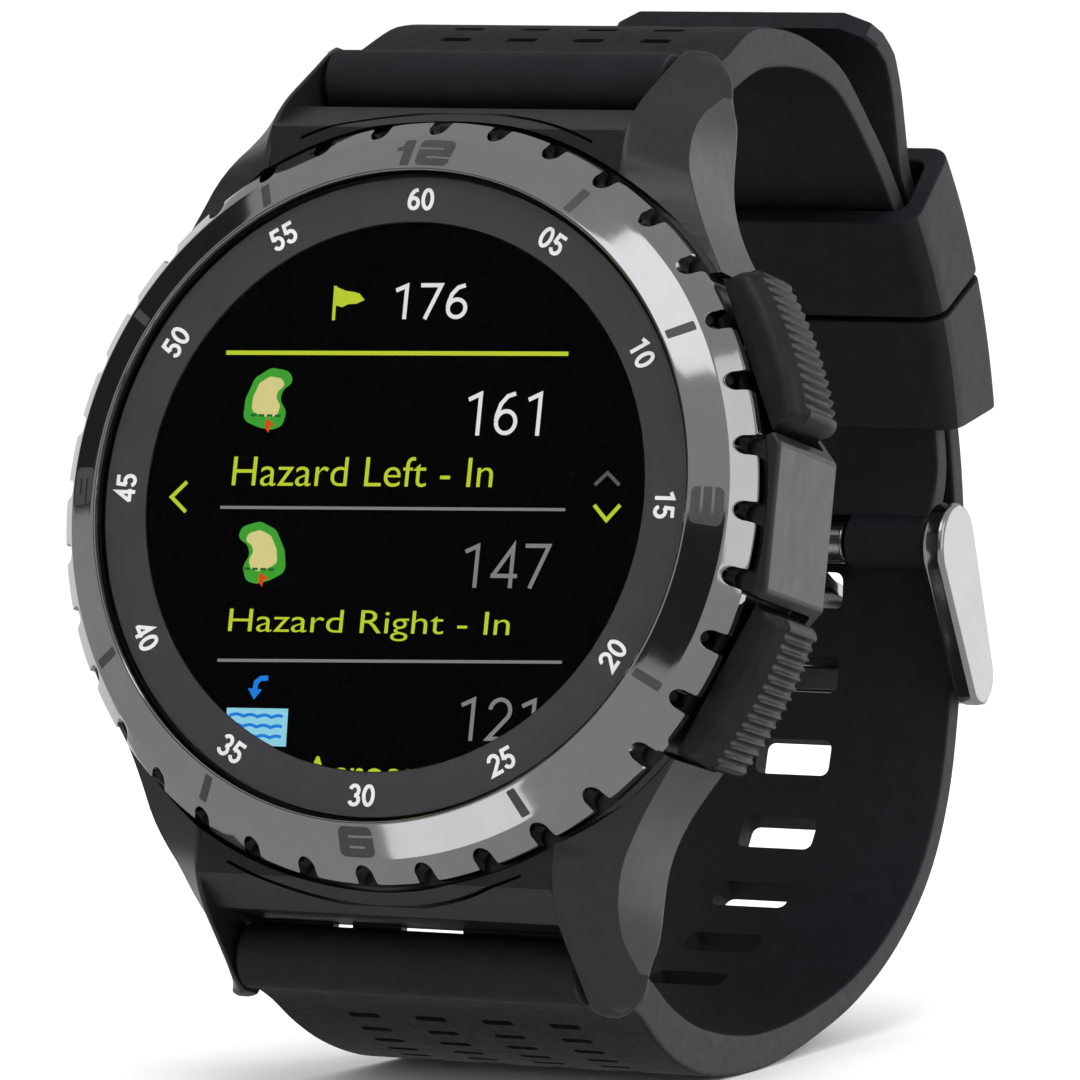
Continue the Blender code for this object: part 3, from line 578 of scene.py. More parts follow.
def stroke(points, width):
    """The outline of an open line of the given width, mitred at its corners."""
    spots = [Vector(p) for p in points]
    left, right = [], []
    for k, spot in enumerate(spots):
        before = (spot - spots[k - 1]).normalized() if k else None
        after = (spots[k + 1] - spot).normalized() if k < len(spots) - 1 else None
        along = ((before or after) + (after or before)).normalized()
        normal = Vector((-along.y, along.x))
        base = after or before
        reach = width / 2 / max(0.3, normal.dot(Vector((-base.y, base.x))))
        left.append(tuple(spot + normal * reach))
        right.append(tuple(spot - normal * reach))
    return left + right[::-1]


def gather(parts, finish="strap"):
    """Several separate closed shapes as one object."""
    whole = bmesh.new()
    for bm in parts:
        mesh = bpy.data.meshes.new("one")
        bmesh.ops.recalc_face_normals(bm, faces=bm.faces)
        bm.to_mesh(mesh)
        bm.free()
        whole.from_mesh(mesh)
        bpy.data.meshes.remove(mesh)
    return solid(whole, "gathered", finish)


# Each digit as centre lines in a box one unit high and 0.6 wide.
DIGITS = {
    "0": [oval(0.3, 0.5, 0.22, 0.44, 90, 449, 34)],
    "1": [[(0.1, 0.8), (0.36, 0.93), (0.36, 0.0)]],
    "2": [oval(0.29, 0.69, 0.22, 0.25, 175, -38) + [(0.07, 0.055), (0.56, 0.055)]],
    "3": [oval(0.28, 0.71, 0.2, 0.23, 165, -85), oval(0.28, 0.27, 0.22, 0.22, 88, -165)],
    "4": [[(0.45, 0.0), (0.45, 0.92), (0.06, 0.27)], [(0.02, 0.27), (0.58, 0.27)]],
    "5": [[(0.53, 0.945), (0.14, 0.945), (0.1, 0.5)], oval(0.28, 0.32, 0.22, 0.265, 138, -160)],
    "6": [[(0.47, 0.94), (0.3, 0.88), (0.16, 0.7), (0.09, 0.45), (0.08, 0.32)],
          oval(0.3, 0.3, 0.215, 0.245, 180, 539, 30)],
    "7": [[(0.04, 0.945), (0.54, 0.945), (0.2, 0.0)]],
}


def number(body, finish, low, high, y, width, slope=0.0):
    """A number drawn in strokes of the given width, filling a box from low to high (x, z)."""
    wide, tall = high[0] - low[0], high[1] - low[1]
    pitch = wide / (len(body) - 0.08)
    parts = []
    for place, digit in enumerate(body):
        for layer, line in enumerate(DIGITS[digit]):
            spots = [(low[0] + pitch * (place + x * 0.9 / 0.6), low[1] + tall * z) for x, z in line]
            spots = [(x, z + slope * (x - low[0])) for x, z in spots]
            parts.append(prism_mesh(stroke(spots, width), "y", y - 0.015 - 0.004 * layer, y + 0.015))
    return gather(parts, finish)


def show(thing, name, clip=False):
    """Puts a lit shape on the screen, trimmed to its round edge if clip is set."""
    if clip:
        combine(thing, turned([(0.0, -2.0), (SCREEN_R, -2.0), (SCREEN_R, 3.0), (0.0, 3.0)]), "INTERSECT")
    settle(thing, name, "watch_case", None, weighted=False)


def show_line(name, points, width, finish="lit_lime"):
    show(flat(stroke(points, width), finish), name)


HOLLOW = [(-0.3, -1.95), (-1.55, -1.6), (-1.6, -0.2), (-1.15, 1.2), (-0.1, 1.95), (1.2, 1.85), (1.6, 1.2),
          (0.95, 0.6), (0.85, -0.05), (1.45, -0.75), (1.3, -1.7), (0.6, -2.0)]


def bunker_icon(name, centre, hand, tilt_deg):
    """A kidney-shaped sand hollow in turf, with a marker below it."""
    x, z = centre
    t = radians(tilt_deg)

    def placed(points, size, shift=(0, 0)):
        spots = [(hand * a * size + shift[0], b * size + shift[1]) for a, b in points]
        return [(x + a * cos(t) - b * sin(t), z + a * sin(t) + b * cos(t))
                for a, b in spots]

    show(flat(rounded(placed(HOLLOW, 1.0), 0.7, 5), "lit_green"), f"{name}_turf")
    show(flat(rounded(placed(HOLLOW, 0.66, (0, 0.1)), 0.45, 5), "lit_sand", SCREEN_Y + 0.06), f"{name}_sand")
    for k in range(4):
        left = x - 1.1 + 0.58 * k
        dash = [(left, z - 1.22), (left + 0.4, z - 1.22), (left + 0.4, z - 1.06), (left, z - 1.06)]
        show(flat(dash, "lit_dark_green", SCREEN_Y + 0.04), f"{name}_dash_{k}")
    mark = [(x + 0.05, z - 1.35), (x + 0.75, z - 1.75), (x + 0.35, z - 1.8), (x + 0.3, z - 2.25),
            (x, z - 1.95)]
    show(flat(mark, "lit_red", SCREEN_Y + 0.03), f"{name}_marker")


def water_icon():
    tile = [(-10.1, -16.25), (-5.75, -16.15), (-5.85, -13.75), (-10.2, -13.85)]
    show(flat(tile, "lit_pale_blue"), "water_tile", True)
    for row, z in enumerate((-14.35, -15.0, -15.65)):
        wave = [(-9.95 + 0.2 * k, z + 0.13 * abs(sin(k * pi / 5))) for k in range(20)]
        show(flat(stroke(wave, 0.2), "lit_blue", SCREEN_Y + 0.06), f"water_wave_{row}", True)
    curl = [(-8.35, -12.6), (-8.3, -12.15), (-8.0, -11.9), (-7.5, -11.85)]
    show(flat(stroke(curl, 0.32), "lit_blue"), "carry_curl")
    head = [(-8.85, -12.55), (-7.85, -12.6), (-8.35, -13.25)]
    show(flat(head, "lit_blue"), "carry_head")


def make_screen():
    profile = [(0.0, SCREEN_Y + 0.13), (SCREEN_R, SCREEN_Y + 0.13), (SCREEN_R, 1.75), (0.0, 1.75)]
    settle(turned(profile, 144, "screen"), "screen_panel", "watch_case", "display_module")
    y = SCREEN_Y + 0.1
    show_line("screen_line_top", [(-12.84, 8.9), (11.33, 9.36)], 0.27)
    show_line("screen_line_middle", [(-12.13, -1.06), (12.17, -0.5)], 0.19, "lit_grey")
    show_line("screen_line_bottom", [(-11.23, -10.85), (12.95, -10.1)], 0.19, "lit_grey")
    slope = 0.022
    for body, finish, low, high, clip in (("176", "lit_white", (-1.45, 11.3), (4.1, 13.6), False),
                                          ("161", "lit_white", (4.4, 4.0), (10.5, 6.85), False),
                                          ("147", "lit_grey", (5.2, -5.65), (11.55, -2.8), False),
                                          ("121", "lit_grey", (6.0, -15.3), (12.15, -12.5), True)):
        show(number(body, finish, low, high, y, 0.26, slope), "number_" + body, clip)
    for body, low, high, clip in (("Hazard Left - In", (-11.5, 0.35), (6.9, 2.25), False),
                                  ("Hazard Right - In", (-10.7, -9.45), (9.1, -7.52), False),
                                  ("Across - In", (-4.3, -18.75), (8.0, -16.7), True)):
        name = "word_" + body.replace(" ", "_").replace("-", "_").lower()
        show(write(body, "lit_lime", low, high, y, -0.006, slope), name, clip)
    show_line("flag_pole", [(-5.42, 11.15), (-5.5, 13.35)], 0.2)
    flag = [(-5.45, 13.3), (-4.7, 13.05), (-4.2, 13.0), (-3.75, 12.9), (-3.35, 12.5), (-3.9, 12.25),
            (-4.5, 12.2), (-4.9, 12.0), (-5.35, 12.1)]
    show(flat(flag, "lit_lime"), "flag_cloth")
    bunker_icon("icon_upper", (-9.5, 6.05), 1, -4)
    bunker_icon("icon_lower", (-8.85, -3.8), -1, 12)
    water_icon()
    show_line("chevron_back", [(-14.72, 0.5), (-15.72, -0.5), (-14.6, -1.42)], 0.24)
    show_line("chevron_up", [(14.05, 1.12), (14.86, 1.9), (15.75, 1.16)], 0.22, "lit_dim")
    show_line("chevron_down", [(14.15, -0.16), (15.08, -1.08), (15.93, -0.1)], 0.24)


LIGHTS = {"white": (0.93, 0.93, 0.93), "grey": (0.26, 0.26, 0.26), "dim": (0.12, 0.12, 0.12),
          "lime": (0.6, 0.74, 0.04), "green": (0.06, 0.42, 0.04), "dark_green": (0.02, 0.16, 0.03),
          "sand": (0.82, 0.74, 0.3), "red": (0.8, 0.09, 0.01), "blue": (0.02, 0.25, 0.85),
          "pale_blue": (0.33, 0.78, 0.95)}


def make_lights_of_screen():
    for name, colour in LIGHTS.items():
        MATS["lit_" + name] = lit("lit_" + name, colour)


# --- Case ---
LUG_SECTIONS = [
    # z, front face at the gap, outer front edge (x, y), outer back edge (x, y)
    (12.0, 2.6, (21.4, 3.4), (21.4, 12.05)),
    (14.0, 2.6, (20.4, 4.0), (20.3, 12.05)),
    (16.0, 2.6, (19.2, 4.4), (18.95, 12.05)),
    (18.5, 2.6, (17.9, 4.5), (17.4, 12.05)),
    (20.7, 2.6, (16.9, 4.7), (16.55, 12.05)),
    (22.0, 2.6, (16.25, 5.2), (16.3, 12.1)),
    (23.4, 2.7, (15.6, 6.3), (16.2, 12.2)),
    (25.0, 3.2, (15.1, 7.7), (16.1, 12.4)),
    (26.5, 4.4, (14.75, 9.6), (15.8, 12.8)),
    (27.4, 5.4, (14.65, 11.2), (15.4, 13.1)),
    (28.2, 6.4, (14.7, 12.5), (15.1, 13.4)),
    (29.3, 7.9, (14.5, 12.9), (14.8, 13.6)),
    (30.2, 9.2, (14.2, 12.6), (14.4, 13.3)),
    (30.75, 10.4, (13.9, 12.1), (14.0, 12.9)),
]
FACET_FROM, FACET_TO, FACET_ROWS = 8, 12, 26  # the loft's faces that form the flat


def spline_table(rows, positions):
    """Smoothly interpolates table rows by their first column."""
    keys = np.array([row[0] for row in rows])
    values = np.array([[row[1], *row[2], *row[3]] for row in rows])
    slopes = np.gradient(values, keys, axis=0)
    made = []
    for z in positions:
        k = int(np.clip(np.searchsorted(keys, z) - 1, 0, len(keys) - 2))
        h = keys[k + 1] - keys[k]
        t = (z - keys[k]) / h
        a, b = values[k], values[k + 1]
        ma, mb = slopes[k] * h, slopes[k + 1] * h
        made.append(a * (2 * t ** 3 - 3 * t ** 2 + 1) + ma * (t ** 3 - 2 * t ** 2 + t)
                    + b * (3 * t ** 2 - 2 * t ** 3) + mb * (t ** 3 - t ** 2))
    return made


def make_lug(hand, side):
    """One lug as a smooth loft along Z, with its front, side and back meeting in soft edges."""
    positions = list(np.linspace(12.2, 24.0, 16)) + list(np.linspace(24.4, 30.75, 18))
    loops = []
    for z, (front, edge_x, edge_y, back_x, back_y) in zip(positions, spline_table(LUG_SECTIONS, positions)):
        corners = [(LUG_IN, front), (edge_x, edge_y), (back_x, back_y), (LUG_IN, min(back_y, 13.2))]
        outline = rounded(corners, [0.28, 0.12, 0.3, 0.2], 4)
        loops.append([(hand * x, y, side * z) for x, y in outline])
    tip = np.array(loops[-1])
    middle = np.mean(tip, axis=0)
    for share, rise in ((0.72, 0.16), (0.4, 0.25)):
        loops.append([tuple(middle + (p - middle) * share + np.array([0, 0, side * rise])) for p in tip])
    bm = loft(loops)
    around = len(loops[0])
    # Painted light: the flat's faces take the lighter copy of the case finish.
    for index, face in enumerate(bm.faces):
        face.material_index = int(FACET_FROM <= index % around < FACET_TO and index < around * FACET_ROWS)
    bmesh.ops.triangulate(bm, faces=bm.faces)
    return solid(bm, "lug")


def make_case_end(side):
    """The sloping shoulder between two lugs."""
    outline = [(2.95, 11.0), (2.95, 24.1), (3.2, 24.3), (6.0, CASE_END_Z), (12.6, CASE_END_Z), (12.9, 24.6),
               (12.1, 22.0), (12.1, 11.0)]
    shaped = rounded(outline, [0, 0, 0.8, 0.35, 0.4, 0.6, 0.6, 0], 5)
    return prism([(y, side * z) for y, z in shaped], "x", -LUG_IN - 0.12, LUG_IN + 0.12)


def make_end_lip():
    """A low lip at the lower shoulder's back edge, with the two short openings that light comes through."""
    lip = prism([(11.8, 25.7), (12.7, 25.7), (12.7, 26.3), (11.9, 26.3)], "x", -12.3, 12.3)
    with editing(lip.data) as bm:
        bmesh.ops.scale(bm, vec=(1, 1, -1), verts=bm.verts)
        bmesh.ops.reverse_faces(bm, faces=bm.faces)
    for left, right in ((-7.0, -5.6), (-2.1, 2.3)):
        cut(lip, block((left, 11.0, -27.0), (right, 13.5, -26.02)))
    return lip


def end_groove(side):
    """A thin arc groove in the shoulder, beside the bezel."""
    outer = [(x, side * z) for x, z in arc((0, 0), 25.62, 66, 114, 40)]
    inner = [(x, side * z) for x, z in arc((0, 0), 25.42, 114, 66, 40)]
    return prism(outer + inner, "y", 2.0, 5.15)


def make_guard():
    """The crown guard, with the flat on its outer face painted lighter: painted light for the side light it
    catches.
    """
    plan = [(20.0, -6.4), (23.9, -6.4), (25.25, -4.8), (25.25, 4.6), (23.9, 6.2), (20.0, 6.2)]
    bm = prism_mesh(plan, "y", 3.2, 12.0)
    for face in bm.faces:
        # Painted light: the outer flat takes the lighter copy of the case finish.
        face.material_index = int(face.normal.x > 0.95)
    guard = solid(bm, "guard")
    cut(guard, prism([(24.75, 2.0), (26.5, 2.0), (26.5, 5.6)], "z", -8.0, 8.0))
    with editing(guard.data) as bm:
        round_edges(bm, 0.22, least_deg=20)
    return guard


def stem_rod(radius, inner_x, outer_x, finish="case", segments=32):
    """A rod along a pusher's stem, drawn at 3 o'clock."""
    return rod(radius, (inner_x, PUSHER_Y, 0), (outer_x, PUSHER_Y, 0), finish, segments)


def pusher_pocket():
    half = PUSHER_R * sin(radians(PUSHER_HALF_DEG)) + 0.35
    pocket = block((23.3, 2.0, -half), (31.0, 11.0, half), "case", 0.35)
    union(pocket, stem_rod(2.2, 20.5, 24.0))
    union(pocket, stem_rod(1.2, 15.0, 21.0))
    union(pocket, stem_rod(2.0, 18.0, 19.3))
    return pocket


def make_case():
    blank = [(0.0, 1.0), (CASE_R - 0.3, 1.0), (CASE_R, 1.2), (CASE_R, 11.1), (24.58, 11.45), (23.6, 12.4),
             (23.3, CASE_BACK), (0.0, CASE_BACK)]
    case = turned(blank)
    for side in (1, -1):
        union(case, make_case_end(side))
        for hand in (1, -1):
            union(case, make_lug(hand, side))
    union(case, make_guard())
    union(case, make_end_lip())
    room = BEZEL_OUT + 0.33
    bezel_room = [(0.0, -3.0), (room, -3.0), (room, CASE_FRONT + 0.3), (room - 0.3, CASE_FRONT),
                  (21.6, CASE_FRONT), (21.6, 1.35), (0.0, 1.35)]
    cut(case, turned(bezel_room))
    cavity = [(0.0, -1.0), (20.5, -1.0), (20.5, 2.05), (16.6, 2.05), (16.6, 11.0), (17.1, 11.0), (17.1, 10.2),
              (18.3, 10.2), (18.3, 11.0), (22.1, 11.0), (22.1, 16.0), (0.0, 16.0)]
    cut(case, turned(cavity, 96))
    for angle in (PUSHER_DEG, -PUSHER_DEG):
        cut(case, turn_about_y(pusher_pocket(), angle))
    for side in (1, -1):
        cut(case, end_groove(side))
        for hand in (1, -1):
            y, z = BAR_Y, side * BAR_Z
            cut(case, rod(0.7, (hand * 11.5, y, z), (hand * 13.3, y, z), "case", 28))
    for x, z in arc((0, 0), 20.2, 45, 315, 4):
        cut(case, rod(0.8, (x, 8.2, z), (x, 13.0, z), "case", 20))
    settle(case, "case_shell", "watch_case", "case_body", 30)


# --- Pushers ---
def pusher_cap():
    """Cap and stem, drawn at 3 o'clock: a curved bar, smooth in front and ribbed on its outer face."""
    half = radians(PUSHER_HALF_DEG)
    ribs, per_rib = 16, 8
    rows = [(4.25, -1.35), (4.3, -1.0), (4.45, -0.72), (4.75, -0.45), (5.1, -0.28), (5.3, -0.2), (5.42, 0.0),
            (7.0, 0.0), (8.6, 0.0), (9.6, -0.08), (10.1, -0.3), (10.35, -0.65), (10.42, -1.2)]
    bm = bmesh.new()
    grid = []
    steps = ribs * per_rib
    for y, drop in rows:
        line = []
        for k in range(steps + 1):
            a = -half + 2 * half * k / steps
            end = min(k, steps - k) / per_rib
            fall = 0.0 if end > 1 else 0.5 * (1 - end) ** 2
            wave = 0.5 - 0.5 * cos(2 * pi * (k / per_rib))
            deep = 0.26 * min(1.0, 1.6 * wave) if 5.35 < y < 10.2 and 1 <= end else 0.0
            r = PUSHER_R + drop - fall - deep
            line.append(bm.verts.new((r * cos(a), y, r * sin(a))))
        grid.append(line)
    inner = []
    for y in (rows[0][0], rows[-1][0]):
        spots = [PUSHER_R * sin(-half + 2 * half * k / steps) * 0.985 for k in range(steps + 1)]
        inner.append([bm.verts.new((PUSHER_BACK, y, z)) for z in spots])
    skin = [inner[0]] + grid + [inner[1]]
    for one, two in zip(skin, skin[1:]):
        for k in range(steps):
            bm.faces.new((one[k], one[k + 1], two[k + 1], two[k]))
    for k in range(steps):
        bm.faces.new((inner[1][k], inner[1][k + 1], inner[0][k + 1], inner[0][k]))
    bm.faces.new([line[0] for line in skin])
    bm.faces.new([line[-1] for line in skin][::-1])
    cap = solid(bm, "pusher", "pusher")
    cut(cap, stem_rod(2.1, 22.0, PUSHER_BACK + 0.75, "pusher", 40))
    union(cap, stem_rod(0.9, 15.2, PUSHER_BACK + 1.2, "pusher"))
    groove = stem_rod(1.6, 15.8, 16.4, "pusher")
    cut(groove, stem_rod(0.6, 15.0, 17.0, "pusher"))
    return cut(cap, groove)


def make_pushers():
    for where, angle in (("upper", PUSHER_DEG), ("lower", -PUSHER_DEG)):
        cap = turn_about_y(pusher_cap(), angle)
        settle(cap, f"pusher_cap_{where}", f"{where}_pusher", f"pusher_{where}", 40)


# --- Strap ---
def smooth_path(points, step):
    """A centripetal spline through the points, sampled about every step millimetres."""
    spots = [Vector(p) for p in points]
    spots = [2 * spots[0] - spots[1]] + spots + [2 * spots[-1] - spots[-2]]
    path = []
    for a, b, c, d in zip(spots, spots[1:], spots[2:], spots[3:]):
        knots = [0.0]
        for one, two in ((a, b), (b, c), (c, d)):
            knots.append(knots[-1] + sqrt((two - one).length))
        count = max(2, round((c - b).length / step))
        for index in range(count):
            t = knots[1] + (knots[2] - knots[1]) * index / count
            path.append(centripetal(a, b, c, d, knots, t))
    path.append(spots[-2])
    return path


def centripetal(a, b, c, d, knots, t):
    def mix(p, q, i, j):
        return p * ((knots[j] - t) / (knots[j] - knots[i])) + q * ((t - knots[i]) / (knots[j] - knots[i]))
    ab, bc, cd = mix(a, b, 0, 1), mix(b, c, 1, 2), mix(c, d, 2, 3)
    return mix(mix(ab, bc, 0, 2), mix(bc, cd, 1, 3), 1, 2)


def lengths_along(path):
    return np.cumsum([0.0] + [(b - a).length for a, b in zip(path, path[1:])])


def across(path, index):
    before, after = path[max(index - 1, 0)], path[min(index + 1, len(path) - 1)]
    along = (after - before).normalized()
    return Vector((-along.y, along.x))


def at_length(path, run, s):
    """The spot, direction and normal of a path at a length along it."""
    index = int(np.clip(np.searchsorted(run, s), 1, len(path) - 1))
    share = (s - run[index - 1]) / (run[index] - run[index - 1])
    along = (path[index] - path[index - 1]).normalized()
    return path[index - 1].lerp(path[index], share), along, Vector((-along.y, along.x))


def strap_band(path, half_widths, thicknesses):
    """A band swept along a (Y, Z) path; the tables are (length, value) pairs."""
    run = lengths_along(path)
    wide = np.interp(run, *zip(*half_widths))
    thick = np.interp(run, *zip(*thicknesses))
    loops = []
    for index, spot in enumerate(path):
        normal = across(path, index)
        w, t = wide[index], thick[index] / 2
        outline = rounded([(w, t), (-w, t), (-w, -t), (w, -t)], min(STRAP_EDGE, 0.8 * t))
        loops.append([(x, *(spot + normal * n)) for x, n in outline])
    return solid(loft(loops), "band", "strap")


def paint_light_on_sides(thing, least_x):
    """Gives the flat side faces of a rubber piece a lighter copy of their rubber: painted light for the light
    that falls on the sides.
    """
    for face in thing.data.polygons:
        if abs(face.normal.x) > 0.8 and abs(face.center.x) > least_x:
            face.material_index = 1
    return thing


def strap_eye(strap, side):
    z = side * BAR_Z
    union(strap, rod(2.1, (-12.0, BAR_Y, z), (12.0, BAR_Y, z), "strap", 48, 0.2))
    cut(strap, rod(1.15, (-20, BAR_Y, z), (20, BAR_Y, z), "strap", 32))


def long_path():
    tail = arc(KEEPER_C, 35.85, 24, 41, 4)
    points = [(BAR_Y, -BAR_Z), (13.4, -28.75), (16.4, -29.3), (20.0, -30.5), (24.0, -31.3), (28.5, -31.5),
              (36.5, -30.6), (45.0, -28.1), (53.0, -24.4), (59.0, -19.9), (63.0, -14.9), (64.9, -9.6),
              (65.3, -4.0), (65.0, 1.5), (64.1, 7.0), (62.6, 12.0)] + tail
    points += [(52.6, 27.8), (50.0, 30.6), (48.9, 33.3), (47.8, 36.0), (46.3, 38.2), (44.3, 39.8)]
    return smooth_path(points, STRAP_STEP)


def short_path():
    points = [(BAR_Y, BAR_Z), (13.2, 29.1), (15.8, 30.4), (20.0, 32.7), (24.3, 33.8), (30.0, 34.5)]
    points += arc(KEEPER_C, 33.8, 76, 17, 9)
    points.append(PIN)
    return smooth_path(points, STRAP_STEP)


def band_box(path, run, s, x, size, lift, bevel):
    """A rounded box across the strap at a length along it: size is (across, along, deep)."""
    spot, along, normal = at_length(path, run, s)
    bm = bmesh.new()
    bmesh.ops.create_cube(bm, size=1.0)
    bmesh.ops.scale(bm, vec=size, verts=bm.verts)
    upright = [e for e in bm.edges if abs(e.verts[0].co.z - e.verts[1].co.z) > 0.01]
    soften(bm, upright, bevel, 4)
    tilt = atan2(along.y, along.x)
    spot = spot + normal * lift
    place = Matrix.Translation((x, spot.x, spot.y)) @ Matrix.Rotation(tilt, 4, "X")
    bmesh.ops.transform(bm, matrix=place, verts=bm.verts)
    return bm


def slot_cutters(path, run):
    """Boxes for the buckle slots, spaced from the one that the tongue goes through."""
    start = next(i for i, spot in enumerate(path) if spot.x > 60 and spot.y > 4.0)
    share = (4.0 - path[start - 1].y) / (path[start].y - path[start - 1].y)
    middle = run[start - 1] + (run[start] - run[start - 1]) * share
    return gather([band_box(path, run, middle + 5.9 * k, 0, (5.5, 2.5, 5.0), 0, 0.55) for k in range(-6, 3)])


def dash_cutters(path, run, outer, thick_at):
    """Six rows of short shallow recesses on the strap's outer face."""
    parts = []
    for row in range(6):
        s = 8.0 + 1.95 * row
        for x in (-7.2, -2.4, 2.4, 7.2):
            parts.append(band_box(path, run, s, x, (2.2, 0.62, 0.9), outer * (thick_at / 2), 0.28))
    return gather(parts)


EYE_WIDTHS = [(0, 12.0), (3.1, 12.0), (3.3, 12.7), (3.6, 13.2), (4.0, 13.45), (5, 13.5)]


def finish_strap(strap, which, dashes):
    cut(strap, dashes)
    # Painted light: the strap's flat sides take the lighter copy of the rubber.
    paint_light_on_sides(strap, 9.0)
    settle(strap, f"strap_half_{which}", "watch_case", f"strap_{which}", 35)


def make_long_strap():
    path = long_path()
    run = lengths_along(path)
    total = run[-1]
    wide = [(20, 12.4), (38, 11.6), (60, 11.4), (80, 11.2), (total - 13, 11.0), (total - 3.2, 10.5),
            (total - 1.6, 10.0), (total - 0.7, 9.3), (total, 7.8)]
    thick = [(0, 3.0), (5, 2.7), (12, 3.0), (18, 3.0), (26, 2.5), (36, 2.0), (46, 1.7), (total, 1.6)]
    strap = strap_band(path, EYE_WIDTHS + wide, thick)
    strap_eye(strap, -1)
    cut(strap, slot_cutters(path, run))
    finish_strap(strap, "long", dash_cutters(path, run, -1, 2.95))


def make_short_strap():
    path = short_path()
    run = lengths_along(path)
    total = run[-1]
    wide = [(15, 12.6), (26, 11.6), (34, 11.1), (total, 11.0)]
    thick = [(0, 3.0), (5, 2.4), (10, 2.9), (16, 2.5), (24, 1.9), (32, 1.6), (total, 1.6)]
    strap = strap_band(path, EYE_WIDTHS + wide, thick)
    strap_eye(strap, 1)
    y, z = PIN
    union(strap, rod(1.9, (-11.0, y, z), (11.0, y, z), "strap", 48, 0.25))
    cut(strap, rod(1.0, (-20, y, z), (20, y, z), "strap", 32))
    cut(strap, block((-5.6, y - 4, z - 4), (5.6, y + 4, z + 1.7), "strap"))
    finish_strap(strap, "short", dash_cutters(path, run, 1, 2.75))


def keeper_shell(first, last):
    """One keeper: a rounded loop about the strap, between two angles of its arc."""
    pad = degrees(0.02 / KEEPER_OUT)
    inner = arc(KEEPER_C, KEEPER_IN + 0.02, first + pad, last - pad, 13)
    outer = arc(KEEPER_C, KEEPER_OUT - 0.02, last - pad, first + pad, 13)
    shell = prism(inner + outer, "x", -KEEPER_HALF + 0.02, KEEPER_HALF - 0.02, "strap")
    near = arc(KEEPER_C, KEEPER_IN + KEEPER_WALL, first - 5, last + 5, 15)
    far = arc(KEEPER_C, KEEPER_OUT - KEEPER_WALL, last + 5, first - 5, 15)
    half = KEEPER_HALF - KEEPER_WALL
    with editing(shell.data) as bm:
        soften(bm, hoop_edges(bm), 1.5, 6)
    way = prism_mesh(near + far, "x", -half, half)
    soften(way, hoop_edges(way), 0.9, 4)
    cut(shell, solid(way, "way", "strap"))
    with editing(shell.data) as bm:
        bmesh.ops.dissolve_limit(bm, angle_limit=radians(0.6), verts=bm.verts, edges=bm.edges)
        soften(bm, [e for e in bm.edges if e.calc_face_angle(0) > 0.9], 0.2)
    return shell


def hoop_edges(bm):
    """The sharp edges that run round the keepers' arc."""
    return [e for e in bm.edges if abs(e.verts[0].co.x - e.verts[1].co.x) < 1e-4 and along_arc(e)
            and e.calc_face_angle(0) > 0.8]


def along_arc(edge):
    """Whether an edge runs round the keepers' arc rather than towards its centre."""
    centre = Vector((0, *KEEPER_C))
    a, b = [v.co - centre for v in edge.verts]
    return abs(hypot(a.y, a.z) - hypot(b.y, b.z)) < 0.05


def make_keepers():
    for name, body, first, last in (("keeper_loop_lower", "keeper_near_buckle", 23.6, 38.0),
                                    ("keeper_loop_upper", "keeper_far", 38.6, 53.0)):
        node = name.replace("_loop", "")
        # Painted light: the keepers' flat sides take the lighter copy of the rubber.
        settle(paint_light_on_sides(keeper_shell(first, last), 12.8), name, body, node, 40)


def make_bar_tips():
    """The spring bars' ends, seated in their holes."""
    for side, where in ((1, "upper"), (-1, "lower")):
        for hand, which in ((1, "right"), (-1, "left")):
            z = side * BAR_Z
            tip = rod(0.42, (hand * 10.2, BAR_Y, z), (hand * 13.25, BAR_Y, z), "steel", 32, 0.1)
            end = f"{where}_{which}"
            settle(tip, f"bar_end_{end}", f"tip_{end}", f"bar_tip_{end}")


# --- Buckle ---
def make_buckle():
    y, z = PIN
    inner, outer = 11.7, 13.28
    outline = arc(PIN, 2.88, 30, 225, 28) + arc((65.2, -1.5), 1.98, 228, 385, 24)
    frame_part = prism(outline, "x", inner, outer, "steel", 0.42, 5)
    union(frame_part, prism(outline, "x", -outer, -inner, "steel", 0.42, 5))
    bar_y, bar_z = 67.0, -2.0
    section = [(bar_y - 0.8, bar_z - 0.9), (bar_y + 0.5, bar_z - 1.2), (bar_y + 0.8, bar_z - 0.6),
               (bar_y + 0.8, bar_z + 0.8), (bar_y + 0.4, bar_z + 1.2), (bar_y - 0.8, bar_z + 1.0)]
    union(frame_part, prism(rounded(section, 0.4, 4), "x", -12.6, 12.6, "steel"))
    for hand in (1, -1):
        cut(frame_part, rod(0.75, (hand * 11.0, y, z), (hand * 12.9, y, z), "steel", 24))
    settle(frame_part, "buckle_arms", "buckle", "buckle_frame", 30)


def make_tang():
    y, z = PIN
    tang = rod(1.5, (-5.2, y, z), (5.2, y, z), "steel", 40, 0.25)
    bend = smooth_path([(59.6, 6.0), (61.4, 4.9), (63.4, 4.25), (66.3, 3.75), (67.9, 2.6), (68.6, 0.6),
                        (68.7, -3.0)], 0.4)
    sides = [[], []]
    for index, spot in enumerate(bend):
        normal = across(bend, index)
        sides[0].append(tuple(spot + normal * 0.45))
        sides[1].append(tuple(spot - normal * 0.45))
    union(tang, prism(sides[0] + sides[1][::-1], "x", -2.2, 2.2, "steel", 0.18, rims_only=True))
    cut(tang, rod(0.85, (-20, y, z), (20, y, z), "steel", 28))
    settle(tang, "buckle_tongue", "tang", "buckle_tang", 30)


# --- Carried-over pieces ---
FINISHES = {"steel": ("buckle_bar", "bar_tube", "back_screw", "vibration_motor"),
            "spring": ("bezel_click_ring", "pusher_spring", "pusher_clip"),
            "seal": ("back_gasket", "bezel_gasket", "glass_gasket", "pusher_seal"),
            "frame": ("inner_frame", "pusher_switch"), "board": ("main_board",),
            "cell": ("battery", "gps_receiver", "memory_and_radio"), "ceramic": ("gps_antenna",),
            "gold": ("charging_contact",), "case": ("case_back",)}


